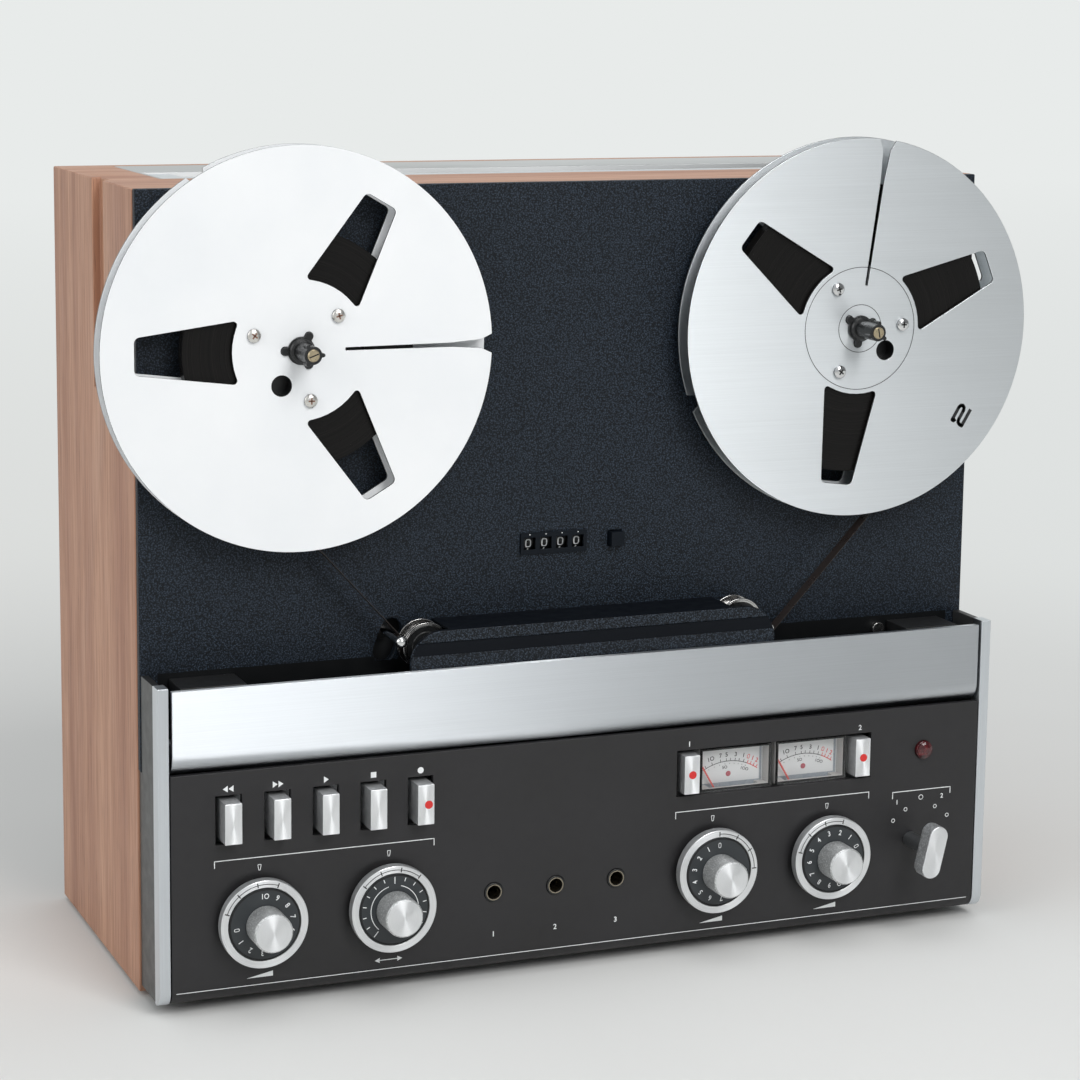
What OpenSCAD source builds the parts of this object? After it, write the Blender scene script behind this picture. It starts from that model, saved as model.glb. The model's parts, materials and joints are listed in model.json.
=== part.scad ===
// Upright reel tape recorder for the table top, in millimetres.
// X points right, Y points to the back, Z points up and the floor is at Z = 0.
// Inside the modules Y = 0 is the front plane of the wooden case.

$fn = 64;

/* [Case] */
// width of the wooden case
case_w = 413; // [411:1:416]
// height of the wooden case above its feet
case_h = 359; // [357:1:363]
// depth of the wooden case
case_d = 148; // [145:1:154]
// thickness of the case boards
board_t = 12; // [10:0.5:13]
// height of a foot
foot_h = 2; // [1.5:0.5:4]
// radius of a foot
foot_r = 9; // [7:0.5:11]
// width of the grip groove down each side
groove_w = 20; // [15:1:24]
// depth of the grip groove
groove_d = 4; // [2:0.5:5]
// length of the grip groove from the top
groove_len = 95; // [70:1:120]

/* [Handle] */
// width of the handle tray in the case top
tray_w = 358; // [350:1:362]
// distance of the tray from the case front
tray_y = 54; // [52:0.5:57]
// length of the finger well from front to back
well_len = 43; // [42:0.5:46]
// depth of the finger well
well_depth = 22; // [18:0.5:24]
// sheet thickness of the tray
tray_t = 1.5; // [1.2:0.1:2]
// thickness of the handle
handle_t = 3; // [2.5:0.1:3.5]
// width of the bar that the hand holds
handle_bar = 14; // [12:0.5:16]
// radius of the handle pins
handle_pin_r = 1.5; // [1.2:0.1:2]

/* [Deck] */
// thickness of the deck plate
deck_t = 4; // [3:0.5:4.5]
// height of the reel axes above the case bottom
reel_up = 289; // [287:0.5:290]
// distance of each reel axis from the middle
reel_x = 137; // [135:0.5:138]
// gap between the deck plate and a reel
reel_gap = 5.5; // [5.2:0.1:7]
// thickness of the chassis plate
chassis_t = 3; // [2:0.5:4]
// gap between the deck plate and the chassis plate
chassis_gap = 6; // [5.5:0.1:7]

/* [Reels] */
// radius of a reel
reel_r = 89; // [88:0.5:89.5]
// width of a reel over its flanges
reel_w = 11; // [10.6:0.1:11.6]
// thickness of a flange
flange_t = 1.1; // [0.9:0.1:1.3]
// radius of a reel hub
hub_r = 30; // [28:0.5:31]
// radius of the left tape pack
pack_left_r = 52.5; // [45:0.5:58]
// radius of the right tape pack
pack_right_r = 68; // [60:0.5:74]
// half width of a window at its hub end
window_half_in = 14.5; // [13:0.5:15.5]
// half width of a window at its rim end
window_half_out = 8; // [7:0.25:9]
// radius at which a window ends near the rim
window_out = 74; // [71:0.5:77]
// radius at which a window starts near the hub
window_in = 31; // [31:0.5:33]
// turn of the left reel
left_turn = 0; // [0:5:40]
// turn of the right reel
right_turn = 82; // [62:5:102]
// radius of a spindle
spindle_r = 4; // [3.8:0.05:4.1]
// reach of a spindle lobe
lobe_r = 9; // [8.5:0.1:9.5]
// width of a spindle lobe
lobe_w = 3.6; // [3:0.1:4]
// length of a spindle in front of its reel
spindle_out = 18; // [15:0.5:20]

/* [Tape path] */
// width of the tape
tape_w = 6.3; // [6.2:0.05:6.4]
// thickness of the tape ribbon
tape_t = 0.2; // [0.15:0.05:0.3]
// free gap beside the tape
run_gap = 0.3; // [0.25:0.05:0.4]
// height of the guide rollers above the case bottom
roller_up = 152.7; // [152:0.1:153.5]
// distance of the left roller from the middle
left_roller_x = 78; // [77:0.5:79]
// distance of the right roller from the middle
right_roller_x = 78.5; // [77.5:0.5:79]
// radius of a roller's flanges
roller_r = 11; // [10.5:0.25:11.25]
// radius of a roller's running face
roller_core_r = 8; // [7.5:0.25:8.25]
// radius of the capstan
capstan_r = 2.5; // [2:0.1:3]
// distance of the capstan from the middle
capstan_x = 44; // [43:0.5:46]
// radius of the pinch roller
pinch_r = 10.5; // [10:0.25:10.5]
// room between the pinch roller and the tape at rest
pinch_room = 4.8; // [4.6:0.1:5]
// radius of the tension pin
tension_pin_r = 2; // [1.6:0.1:2.2]

/* [Head cover] */
// distance of the cover's left end from the middle
cover_left = 89; // [88:0.5:90]
// distance of the cover's right end from the middle
cover_right = 91.5; // [90.5:0.5:92]
// height of the cover's top above the case bottom
cover_top_up = 162; // [161:0.5:163]
// height of the cover's lower edge above the case bottom
cover_low_up = 143; // [142:0.5:144]
// radius of the cover's upper corners
cover_corner = 15; // [12:0.5:15.5]
// wall of the cover
cover_t = 2.5; // [2:0.1:2.8]
// depth of the smooth band in the cover's front
band_d = 1; // [0.5:0.1:1.2]

/* [Front unit] */
// distance of the panel's front from the case front
panel_out = 33.7; // [33:0.1:34.5]
// thickness of the control panel
panel_t = 3; // [2.5:0.1:3.5]
// height of the front unit's underside above the case bottom
unit_low = 3; // [2.5:0.5:4]
// height of the panel's top above the case bottom
panel_top_up = 107.4; // [106.5:0.1:107.6]
// height of the rails above the case bottom
rail_top_up = 146.7; // [146:0.1:148]
// width of a rail
rail_w = 5.1; // [4.5:0.1:5.5]
// depth of a rail
rail_d = 7.8; // [7:0.1:7.9]
// rounding of the lower front edge
low_round = 8; // [6:0.5:9]
// thickness of the flap
flap_t = 3; // [2.5:0.1:3.2]
// rounding of the flap's lower edge
flap_round = 10; // [10:0.25:10.5]
// radius of the flap pins
flap_pin_r = 1.8; // [1.5:0.1:1.8]

/* [Controls] */
// distance of the keys below the panel's top
key_below = 21.5; // [20.9:0.1:22.3]
// first key's distance from the panel's left end
key_in = 26; // [24.4:0.2:27.4]
// step from key to key
key_step = 22.2; // [21.6:0.1:22.6]
// width of a key
key_w = 7.8; // [7:0.1:8.4]
// height of a key
key_h = 18.4; // [17:0.1:19]
// how far a key stands out of the panel
key_out = 7.8; // [6.5:0.1:9]
// travel of a key
key_travel = 4; // [3:0.5:5]
// width of a key's well
well_w = 12; // [11.2:0.1:13]
// height of a key's well
well_h = 22; // [21:0.1:23]
// height of the knobs above the case bottom
knob_up = 39.3; // [38.5:0.1:40]
// radius of a knob's outer ring
ring_r = 20; // [19.4:0.1:20.6]
// radius of a knob's dial
dial_r = 16.2; // [15.5:0.1:16.8]
// radius of a knob's grip
grip_r = 8.8; // [8:0.1:9.5]
// how far a ring stands out of the panel
ring_out = 8.1; // [7.5:0.1:8.7]
// how far a knob stands out of the panel
knob_out = 21.9; // [20:0.1:23.5]
// how far the power knob stands out of the panel
power_out = 25.3; // [23.5:0.1:26.5]
// radius of a jack's bore
jack_r = 3.2; // [3.18:0.01:3.3]
// depth of a jack's bore
jack_depth = 28; // [24:0.5:28.5]

/* [Counter] */
// height of the counter above the case bottom
counter_up = 193.4; // [190:0.2:196]
// height of the counter's bezel
bezel_h = 10; // [9.8:0.1:11]
// radius of a number wheel
wheel_r = 7.2; // [6.9:0.05:7.4]
// width of a number wheel
wheel_w = 7; // [6.4:0.1:7.2]
// step from wheel to wheel
wheel_step = 8; // [7.8:0.1:8.2]

/* [Hidden] */
// running clearance of a shaft in its hole
run_fit = 0.05;
// clearance of a slide in its hole
slide_fit = 0.3;
// gap that keeps two seated pieces of one group apart
seat = 0.05;
eps = 1;
base_z = foot_h;
case_top = base_z + case_h;
inner_w = case_w - 2 * board_t;
front_tip = panel_out + power_out;
mid_y = (case_d - front_tip) / 2;
reel_z = base_z + reel_up;
reel_back_y = -deck_t - reel_gap;
reel_front_y = reel_back_y - reel_w;
tape_y = reel_back_y - reel_w / 2;
chassis_y = chassis_gap;
chassis_back = chassis_y + chassis_t;
shaft_r = 5;
spacer_r = 5;
spacer_in = 14.5;
spacer_up = 190;
base_plate_t = 2;
base_plate_z = base_z + board_t + base_plate_t;
platform_r = 22;
platform_t = 3;
rotor_r = 34;
stator_r = 41;
stator_y = chassis_back + 16;
stator_len = 44;
post_r = 3;
tray_len = 86;
tray_low = case_top - well_depth - tray_t;
chassis_top = tray_low - 1;
handle_gap = 1;
handle_half = tray_w / 2 - tray_t - handle_gap;
handle_front = tray_y + tray_t + handle_gap;
handle_arm = 12;
handle_eye_r = 4;
handle_pivot_y = tray_y + well_len - tray_t - 6;
handle_pivot_z = case_top - 5;
handle_z = case_top - 0.5 - handle_t;
handle_mid = handle_z + handle_t / 2;
groove_y = 51;
unit_z = base_z + unit_low;
panel_y = -panel_out;
panel_top = base_z + panel_top_up;
rail_top = base_z + rail_top_up;
rail_in = case_w / 2 - 0.5 - rail_w;
panel_half = rail_in - 0.5;
shelf_t = 2.5;
shelf_z = panel_top - 4.5;
deck_low = shelf_z - 0.5;
housing_front = panel_y + rail_d;
housing_half = case_w / 2 - 1;
housing_wall = 3.5;
bay_floor = shelf_z + shelf_t;
bay_blocks = [[7.4 - panel_half, 37.4 - panel_half], [panel_half - 35.4, panel_half - 7.4]];
flap_low = panel_top - 0.9;
flap_top = rail_top - 1.8;
flap_y = panel_y + 0.1;
flap_axis_y = flap_y + flap_round;
flap_axis_z = flap_low + flap_round;
flap_half = panel_half - 0.9;
flap_ear = 3;
roller_z = base_z + roller_up;
tape_z = roller_z - roller_core_r - run_gap - tape_t / 2;
roller_half = tape_w / 2 + 0.4;
roller_flange = 1.2;
roller_shaft_r = 2;
guide_post_x = 93.5;
guide_post_r = 3;
guide_post_z = tape_z + tape_t / 2 + 0.1 + guide_post_r;
capstan_z = tape_z + tape_t / 2 + run_gap + capstan_r;
pinch_z = tape_z - tape_t / 2 - pinch_room - pinch_r;
pinch_pivot_x = 92;
pinch_pivot_z = pinch_z - 1.5;
pinch_axle_r = 2.5;
pinch_shaft_r = 3;
pinch_half = 7;
pinch_arm_t = 3.5;
pinch_arm_half = 4;
pinch_boss_r = 6;
cover_front = -30;
cover_top = base_z + cover_top_up;
cover_low = base_z + cover_low_up;
knob_z = base_z + knob_up;
key_z = panel_top - key_below;
key_first = panel_half - key_in;
bracket_y = -14;
bracket_t = 3;
bracket_half = inner_w / 2 - 2.5;
bracket_leg = 4;
bracket_top = panel_top - 7.4;
bracket_mid = (base_plate_z + bracket_top) / 2;
knob_xs = [-panel_half + 39.8, -panel_half + 99.9, panel_half - 140.8, panel_half - 80.8];
power_x = panel_half - 35.6;
power_z = base_z + 42.3;
power_tilt = -13;
jack_xs = [-50, -19.6, 10.7];
jack_ring_r = 4.5;
jack_body_r = 7;
lamp_x = panel_half - 29.5;
lamp_r = 4.4;
pot_r = 12;
pot_y = -26;
knob_shaft_r = 3;
sleeve_r = 5;
window_left = panel_half - 159.6;
window_right = panel_half - 58;
record_key_xs = [panel_half - 153.5, panel_half - 64.1];
meter_xs = [panel_half - 128.6, panel_half - 89.2];
meter_w = 36.6;
meter_h = 20.6;
meter_wall = 1.2;
meter_face_y = -25;
glass_t = 1.6;
meter_foot = 14;
meter_low = knob_z + pot_r + 2.7;
needle_pivot_z = knob_z + pot_r + 9;
needle_swing = 15.2;
needle_lean = atan(needle_swing / (key_z + 0.3 - needle_pivot_z));
needle_len = (key_z + 0.3 - needle_pivot_z) / cos(needle_lean);
counter_z = base_z + counter_up;
wheel_x = -22.6;
wheel_y = wheel_r - 1;
wheel_hole = sqrt(wheel_r * wheel_r - wheel_y * wheel_y) + 0.6;
axle_r = 1.5;
counter_left = -27;
counter_right = 5.9;
reset_x = 20.5;
reset_w = 6.6;
reset_out = 4;
switch_xs = [61.4 - panel_half, 93.4 - panel_half];
switch_z = base_z + 128;
switch_travel = 6;

// points of the tape's two straight runs and its turns
left_pack = [-reel_x, reel_z];
right_pack = [reel_x, reel_z];
left_turn_at = [-left_roller_x, roller_z];
right_turn_at = [guide_post_x, guide_post_z];
left_pack_run = pack_left_r + run_gap + tape_t / 2;
right_pack_run = pack_right_r + run_gap + tape_t / 2;
left_turn_run = roller_core_r + run_gap + tape_t / 2;
right_turn_run = guide_post_r + 0.1 + tape_t / 2;
tension_pin = left_turn_at + [-13.8, 4.2];
tension_pivot = tension_pin + [-40, -5];
tension_run = tension_pin_r + run_gap + tape_t / 2;
left_span = tension_pin - left_pack;
pin_span = left_turn_at - tension_pin;
right_span = right_pack - right_turn_at;
left_dir = atan2(left_span[1], left_span[0]) + asin((left_pack_run + tension_run) / norm(left_span));
pin_dir = atan2(pin_span[1], pin_span[0]) - asin((tension_run + left_turn_run) / norm(pin_span));
right_dir = atan2(right_span[1], right_span[0]) + asin((right_turn_run - right_pack_run) / norm(right_span));
function ray(a) = [cos(a), sin(a)];
function turn_points(c, r, a, b) = [for (k = [0 : 8]) c + r * ray(a + (b - a) * k / 8)];
function tape_side(e) = concat(
  [left_pack + (left_pack_run + e) * ray(left_dir - 90)],
  turn_points(tension_pin, tension_run - e, left_dir + 90, pin_dir + 90),
  turn_points(left_turn_at, left_turn_run + e, pin_dir - 90, -90),
  turn_points(right_turn_at, right_turn_run + e, -90, right_dir - 90),
  [right_pack + (right_pack_run + e) * ray(right_dir - 90)]
);
function backwards(list) = [for (k = [len(list) - 1 : -1 : 0]) list[k]];

// corner points of a rounded outline
function unit(v) = v / norm(v);
function corner(a, b, c, r) =
  let (u = unit(a - b), v = unit(c - b), half = acos(u * v) / 2)
  let (centre = b + unit(u + v) * r / sin(half))
  let (start = b + u * r / tan(half) - centre, stop = b + v * r / tan(half) - centre)
  let (p = atan2(start[1], start[0]), q = atan2(stop[1], stop[0]))
  let (sweep = q - p > 180 ? q - p - 360 : (q - p < -180 ? q - p + 360 : q - p))
  [for (k = [0 : 4]) centre + r * ray(p + sweep * k / 4)];
function rounded(pts, r) = [
  for (k = [0 : len(pts) - 1])
    each corner(pts[(k + len(pts) - 1) % len(pts)], pts[k], pts[(k + 1) % len(pts)], r)
];

// moves the drawing so that its box is centred on the origin
module place() {
  translate([0, -mid_y, 0]) children();
}

// round bar along Y
module rod(x, z, y_from, y_to, r) {
  translate([x, y_from, z]) rotate([-90, 0, 0]) cylinder(r = r, h = y_to - y_from);
}

// plate in the X Z plane, drawn flat and given a thickness along Y
module sheet(y_from, t) {
  translate([0, y_from + t, 0]) rotate([90, 0, 0]) linear_extrude(t) children();
}

// bar along X with a section drawn in Y and Z
module length_x(x_from, long) {
  translate([x_from, 0, 0]) rotate([90, 0, 90]) linear_extrude(long) children();
}

// block between two corners
module block(a, b) {
  translate(a) cube(b - a);
}

module round_slot(x, z_low, z_high, r) {
  translate([x - r, z_low]) square([2 * r, z_high - z_low]);
  translate([x, z_low]) circle(r = r);
  translate([x, z_high]) circle(r = r);
}

module wood_case() {
  color("#a5745a") place() difference() {
    block([-case_w / 2, 0, base_z], [case_w / 2, case_d, case_top]);
    block([-inner_w / 2, -eps, base_z + board_t], [inner_w / 2, case_d + eps, case_top - board_t]);
    block([-tray_w / 2, tray_y, case_top - board_t - eps], [tray_w / 2, tray_y + tray_len, case_top + eps]);
    block([-tray_w / 2, tray_y, tray_low], [tray_w / 2, tray_y + well_len, case_top + eps]);
    for (s = [-1, 1])
      translate([s * case_w / 2, groove_y + groove_w / 2, case_top - groove_len / 2 + eps])
        cube([2 * groove_d, groove_w, groove_len + 2 * eps], center = true);
  }
}

module case_feet() {
  color("#202020") place()
    for (x = [-1, 1], y = [22, case_d - 22])
      translate([x * (case_w / 2 - 28), y, 0]) cylinder(r = foot_r, h = foot_h);
}

cover_back_y = case_d - 7;
socket_z = base_z + 50;
socket_first = 44.5;
socket_step = 22;
socket_xs = [for (k = [0 : 3]) socket_first + socket_step * k - inner_w / 2];
socket_r = 4.4;
socket_bore_r = 1.6;
round_x = 144.5 - inner_w / 2;
round_r = 9;
round_bore_r = 7;
inlet_x = inner_w / 2 - 62.5;
inlet_w = 28;
inlet_h = 20;
inlet_wall = 2;
inlet_deep = 16;

module rear_cover() {
  color("#2b2c2e") place() difference() {
    block([-inner_w / 2, cover_back_y - 3, base_z + board_t],
      [inner_w / 2, cover_back_y, case_top - board_t]);
    for (k = [0 : 8])
      translate([-120 + 30 * k - 2.5, cover_back_y - 4, base_z + 220]) cube([5, 5, 80]);
    for (x = socket_xs)
      rod(x, socket_z, cover_back_y - 4, cover_back_y + 1, socket_r + seat);
    rod(round_x, socket_z, cover_back_y - 4, cover_back_y + 1, round_r + seat);
    block([inlet_x - inlet_w / 2, cover_back_y - 4, socket_z - inlet_h / 2],
      [inlet_x + inlet_w / 2, cover_back_y + 1, socket_z + inlet_h / 2]);
  }
}

module rear_sockets() {
  color("#c8c8c8") place() {
    for (x = socket_xs)
      difference() {
        rod(x, socket_z, cover_back_y - 6, cover_back_y + 5.5, socket_r);
        rod(x, socket_z, cover_back_y - 3, cover_back_y + 6.5, socket_bore_r);
      }
    difference() {
      rod(round_x, socket_z, cover_back_y - 6, cover_back_y + 2, round_r);
      rod(round_x, socket_z, cover_back_y - 2.5, cover_back_y + 3, round_bore_r);
    }
    difference() {
      block([inlet_x - inlet_w / 2, cover_back_y - inlet_deep, socket_z - inlet_h / 2],
        [inlet_x + inlet_w / 2, cover_back_y + 2, socket_z + inlet_h / 2]);
      block([inlet_x - inlet_w / 2 + inlet_wall, cover_back_y - inlet_deep + 3,
          socket_z - inlet_h / 2 + inlet_wall],
        [inlet_x + inlet_w / 2 - inlet_wall, cover_back_y + 3, socket_z + inlet_h / 2 - inlet_wall]);
    }
  }
}

module handle_tray() {
  color("#b9bcbf") place() {
    difference() {
      block([-tray_w / 2, tray_y, tray_low], [tray_w / 2, tray_y + well_len, case_top]);
      block([-tray_w / 2 + tray_t, tray_y + tray_t, tray_low + tray_t],
        [tray_w / 2 - tray_t, tray_y + well_len - tray_t, case_top + eps]);
    }
    block([-tray_w / 2, tray_y + well_len - tray_t / 2, case_top - tray_t],
      [tray_w / 2, tray_y + tray_len, case_top]);
    for (s = [-1, 1])
      translate([s * (tray_w / 2 - tray_t / 2), handle_pivot_y, handle_pivot_z])
        rotate([0, -90 * s, 0]) cylinder(r = handle_pin_r, h = tray_t / 2 + handle_gap + handle_arm - 3);
  }
}

module carry_handle() {
  color("#c9ccd0") place() difference() {
    union() {
      block([-handle_half, handle_front, handle_z],
        [handle_half, handle_front + handle_bar, handle_z + handle_t]);
      for (s = [-1, 1]) {
        translate([s * (handle_half - handle_arm / 2), (handle_front + handle_pivot_y) / 2, handle_mid])
          cube([handle_arm, handle_pivot_y - handle_front, handle_t], center = true);
        translate([s * (handle_half - handle_arm / 2), handle_pivot_y, handle_pivot_z])
          rotate([0, 90, 0]) cylinder(r = handle_eye_r, h = handle_arm, center = true);
      }
    }
    for (s = [-1, 1])
      translate([s * (handle_half - handle_arm / 2), handle_pivot_y, handle_pivot_z])
        rotate([0, 90, 0]) cylinder(r = handle_pin_r + run_fit, h = handle_arm + 2, center = true);
  }
}

module chassis_frame() {
  color("#8d9195") place() {
    difference() {
      union() {
        block([-inner_w / 2, chassis_y, base_z + board_t], [inner_w / 2, chassis_back, chassis_top]);
        block([-inner_w / 2, chassis_y, base_z + board_t], [inner_w / 2, case_d - 14, base_plate_z]);
      }
      for (s = [-1, 1])
        rod(s * reel_x, reel_z, chassis_y - eps, chassis_back + eps, shaft_r + 1);
      rod(capstan_x, capstan_z, chassis_y - eps, chassis_back + eps, capstan_r + 1.5);
      rod(-left_roller_x, roller_z, chassis_y - eps, chassis_back + eps, roller_shaft_r + 0.6);
      rod(right_roller_x, roller_z, chassis_y - eps, chassis_back + eps, roller_shaft_r + 0.6);
      rod(pinch_pivot_x, pinch_pivot_z, chassis_y - eps, chassis_back + eps, pinch_shaft_r + 0.6);
      block([counter_left - 5, chassis_y - eps, counter_z - 12],
        [reset_x + reset_w / 2 + 4.2, chassis_back + eps, counter_z + 12]);
    }
    rod(tension_pivot[0], tension_pivot[1], 0.4, chassis_y, 2);
    for (s = [-1, 1])
      rod(s * (inner_w / 2 - spacer_in), base_z + spacer_up, 0, chassis_y, spacer_r);
  }
}

module deck_plate() {
  color("#26292d") place() difference() {
    block([-case_w / 2 + 0.5, -deck_t, deck_low], [case_w / 2 - 0.5, 0, case_top]);
    for (s = [-1, 1])
      rod(s * reel_x, reel_z, -deck_t - eps, eps, shaft_r + 2);
    rod(capstan_x, capstan_z, -deck_t - eps, eps, capstan_r + 1.5);
    rod(-left_roller_x, roller_z, -deck_t - eps, eps, roller_shaft_r + run_fit);
    rod(right_roller_x, roller_z, -deck_t - eps, eps, roller_shaft_r + run_fit);
    rod(pinch_pivot_x, pinch_pivot_z, -deck_t - eps, eps, pinch_shaft_r + run_fit);
    sheet(-deck_t - eps, deck_t + 2 * eps)
      translate(tension_pin + [0.65, -3.55]) rotate(-20.9) round_slot(0, -5.2, 5.2, 5);
    block([counter_left + 0.3, -deck_t - eps, counter_z - wheel_hole],
      [counter_right - 0.3, eps, counter_z + wheel_hole]);
    block([reset_x - reset_w / 2 - slide_fit, -deck_t - eps, counter_z - reset_w / 2 - slide_fit],
      [reset_x + reset_w / 2 + slide_fit, eps, counter_z + reset_w / 2 + slide_fit]);
    for (x = switch_xs)
      block([x - 6, -deck_t - eps, switch_z - 2.1], [x + 6, eps, switch_z + 2.1]);
  }
}

// outline of the front unit's lower front edge in Y and Z
module low_edge(y_front, y_back, z_low, z_high, r) {
  translate([y_front, z_low + r]) square([y_back - y_front, z_high - z_low - r]);
  translate([y_front + r, z_low]) square([y_back - y_front - r, r + 0.1]);
  intersection() {
    translate([y_front + r, z_low + r]) circle(r = r);
    translate([y_front, z_low]) square([r + 0.1, r + 0.1]);
  }
}

module front_housing() {
  color("#222326") place() {
    for (s = [-1, 1])
      length_x(s > 0 ? housing_half - housing_wall : -housing_half, housing_wall) {
        translate([housing_front + 0.4, unit_z]) square([-housing_front - 0.4, deck_low - 0.2 - unit_z]);
        translate([housing_front + 0.4, unit_z])
          square([-housing_front - 0.4 - deck_t, rail_top - 0.7 - unit_z]);
      }
    block([-panel_half, panel_y + panel_t, shelf_z], [panel_half, -deck_t, bay_floor]);
    block([-housing_half + 1, housing_front + 0.4, shelf_z], [housing_half - 1, -deck_t, bay_floor]);
    block([-housing_half + 1, panel_y + low_round + 2, unit_z], [housing_half - 1, 0, unit_z + 3]);
    for (b = bay_blocks) {
      block([b[0], flap_axis_y + flap_round + 1.1, shelf_z + 1], [b[1], -deck_t, rail_top - 3]);
      block([b[0], -deck_t - 20, flap_axis_z + 2.3], [b[1], -deck_t, rail_top - 3]);
    }
    for (s = [-1, 1])
      translate([s * (flap_half + 0.7), flap_axis_y, flap_axis_z])
        rotate([0, -90 * s, 0]) translate([0, 0, -4]) cylinder(r = flap_pin_r, h = 4 + flap_ear + 1);
  }
}

module control_panel() {
  color("#363537") place() difference() {
    length_x(-panel_half, 2 * panel_half) difference() {
      low_edge(panel_y, panel_y + low_round + 2, unit_z, panel_top, low_round);
      low_edge(panel_y + panel_t, panel_y + low_round + 5, unit_z + panel_t, panel_top + 5,
        low_round - panel_t);
    }
    for (k = [0 : 4])
      block([-key_first + k * key_step - well_w / 2, panel_y - eps, key_z - well_h / 2],
        [-key_first + k * key_step + well_w / 2, panel_y + panel_t + eps, key_z + well_h / 2]);
    block([window_left, panel_y - eps, key_z - well_h / 2],
      [window_right, panel_y + panel_t + eps, key_z + well_h / 2]);
    for (x = knob_xs)
      rod(x, knob_z, panel_y - eps, panel_y + panel_t + eps, sleeve_r + run_fit);
    rod(power_x, power_z, panel_y - eps, panel_y + panel_t + eps, knob_shaft_r + run_fit);
    for (x = jack_xs)
      rod(x, knob_z, panel_y - eps, panel_y + panel_t + eps, jack_ring_r + seat);
    rod(lamp_x, key_z, panel_y - eps, panel_y + panel_t + eps, lamp_r + seat);
  }
}

module trim_rails() {
  color("#cfd2d6") place()
    for (s = [-1, 1])
      length_x(s > 0 ? rail_in : -rail_in - rail_w, rail_w)
        low_edge(panel_y, panel_y + rail_d + 0.4, unit_z, rail_top, rail_d - 0.5);
}

module flap() {
  color("#c6cbd0") place() difference() {
    union() {
      length_x(-flap_half, 2 * flap_half) {
        translate([flap_y, flap_axis_z]) square([flap_t, flap_top - flap_axis_z]);
        intersection() {
          difference() {
            translate([flap_axis_y, flap_axis_z]) circle(r = flap_round);
            translate([flap_axis_y, flap_axis_z]) circle(r = flap_round - flap_t);
          }
          translate([flap_y - 1, flap_low - 1]) square([flap_round + 1, flap_round + 1.2]);
        }
      }
      for (s = [-1, 1])
        length_x(s > 0 ? flap_half - flap_ear : -flap_half, flap_ear) {
          translate([flap_axis_y, flap_axis_z]) circle(r = 5);
          translate([flap_y + 1, flap_axis_z - 4]) square([flap_round - 1, 8]);
        }
    }
    for (s = [-1, 1])
      translate([s * flap_half, flap_axis_y, flap_axis_z])
        rotate([0, 90, 0]) cylinder(r = flap_pin_r + run_fit, h = 4 * flap_ear, center = true);
  }
}

// outline of the head cover in X and Z
module cover_shape(inset) {
  r = cover_corner - inset;
  left = -cover_left + inset;
  right = cover_right - inset;
  high = cover_top - inset;
  translate([left, cover_low - eps]) square([right - left, high - r - cover_low + eps]);
  translate([left + r, cover_low]) square([right - left - 2 * r, high - cover_low]);
  translate([left + r, high - r]) circle(r = r);
  translate([right - r, high - r]) circle(r = r);
}

module head_cover() {
  color("#1f2226") place() difference() {
    sheet(cover_front, -deck_t - cover_front) cover_shape(0);
    block([-200, cover_front - eps, 0], [200, 0, cover_low]);
    sheet(cover_front + cover_t, -cover_front) cover_shape(cover_t);
    block([-200, cover_front - eps, cover_top - 11], [200, cover_front + band_d, cover_top - 5.5]);
    rod(-left_roller_x, roller_z, cover_front + cover_t, eps, roller_r + 1);
    rod(right_roller_x, roller_z, cover_front + cover_t, eps, roller_r + 1);
    block([-cover_left - eps, cover_front + cover_t, 0], [-left_roller_x, eps, roller_z]);
    block([right_roller_x, cover_front + cover_t, 0], [cover_right + eps, eps, roller_z + 4]);
  }
}

head_xs = [-42, -14, 14];
head_r = 6.5;
head_plate_t = 4;
head_plate_left = 62;
head_plate_right = 60;
head_top = cover_top - cover_t - 0.5;
head_back = -deck_t - head_plate_t - seat;
head_front = -deck_t - 20;
bay_screw_x = 159.5;
bay_screw_z = base_z + 140.1;
bay_screw_r = 3.2;

module head_block() {
  color("#9a9da1") place() {
    difference() {
      block([-head_plate_left, -deck_t - head_plate_t, cover_top - 15],
        [head_plate_right, -deck_t, head_top]);
      rod(capstan_x, capstan_z, -deck_t - head_plate_t - 1, 0, capstan_r + 1.5);
    }
    for (x = head_xs)
      difference() {
        union() {
          rod(x, tape_z + tape_t / 2 + run_gap + head_r, head_front, head_back, head_r);
          block([x - head_r, head_front, tape_z + head_r + 0.5], [x + head_r, head_back, head_top]);
        }
        block([x - head_r - 1, head_front - 1, head_top], [x + head_r + 1, 0, cover_top]);
      }
    rod(guide_post_x, guide_post_z, tape_y - tape_w / 2 - 1.5, -deck_t, guide_post_r);
    rod(bay_screw_x, bay_screw_z, -deck_t - 3, -deck_t, bay_screw_r);
  }
}

// motor body on posts behind the chassis plate
module motor_body(x, z, r, shaft, post_at) {
  difference() {
    union() {
      rod(x, z, stator_y, stator_y + stator_len, r);
      for (k = [0 : 2])
        rod(x + post_at * cos(90 + 120 * k), z + post_at * sin(90 + 120 * k),
          chassis_back, stator_y + 1, post_r);
    }
    rod(x, z, stator_y - eps, stator_y + stator_len - 8, shaft + run_fit);
  }
}

module motors() {
  color("#77797c") place() {
    for (s = [-1, 1])
      motor_body(s * reel_x, reel_z, stator_r, shaft_r, stator_r - post_r);
    motor_body(capstan_x, capstan_z, 33, 4, 30);
  }
}

module capstan() {
  color("#d7d9db") place() {
    rod(capstan_x, capstan_z, tape_y - tape_w / 2 - 4, chassis_back + 3, capstan_r);
    rod(capstan_x, capstan_z, chassis_back + 3, chassis_back + 12, 25);
    rod(capstan_x, capstan_z, chassis_back + 12, stator_y + stator_len - 9, 4);
  }
}

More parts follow.
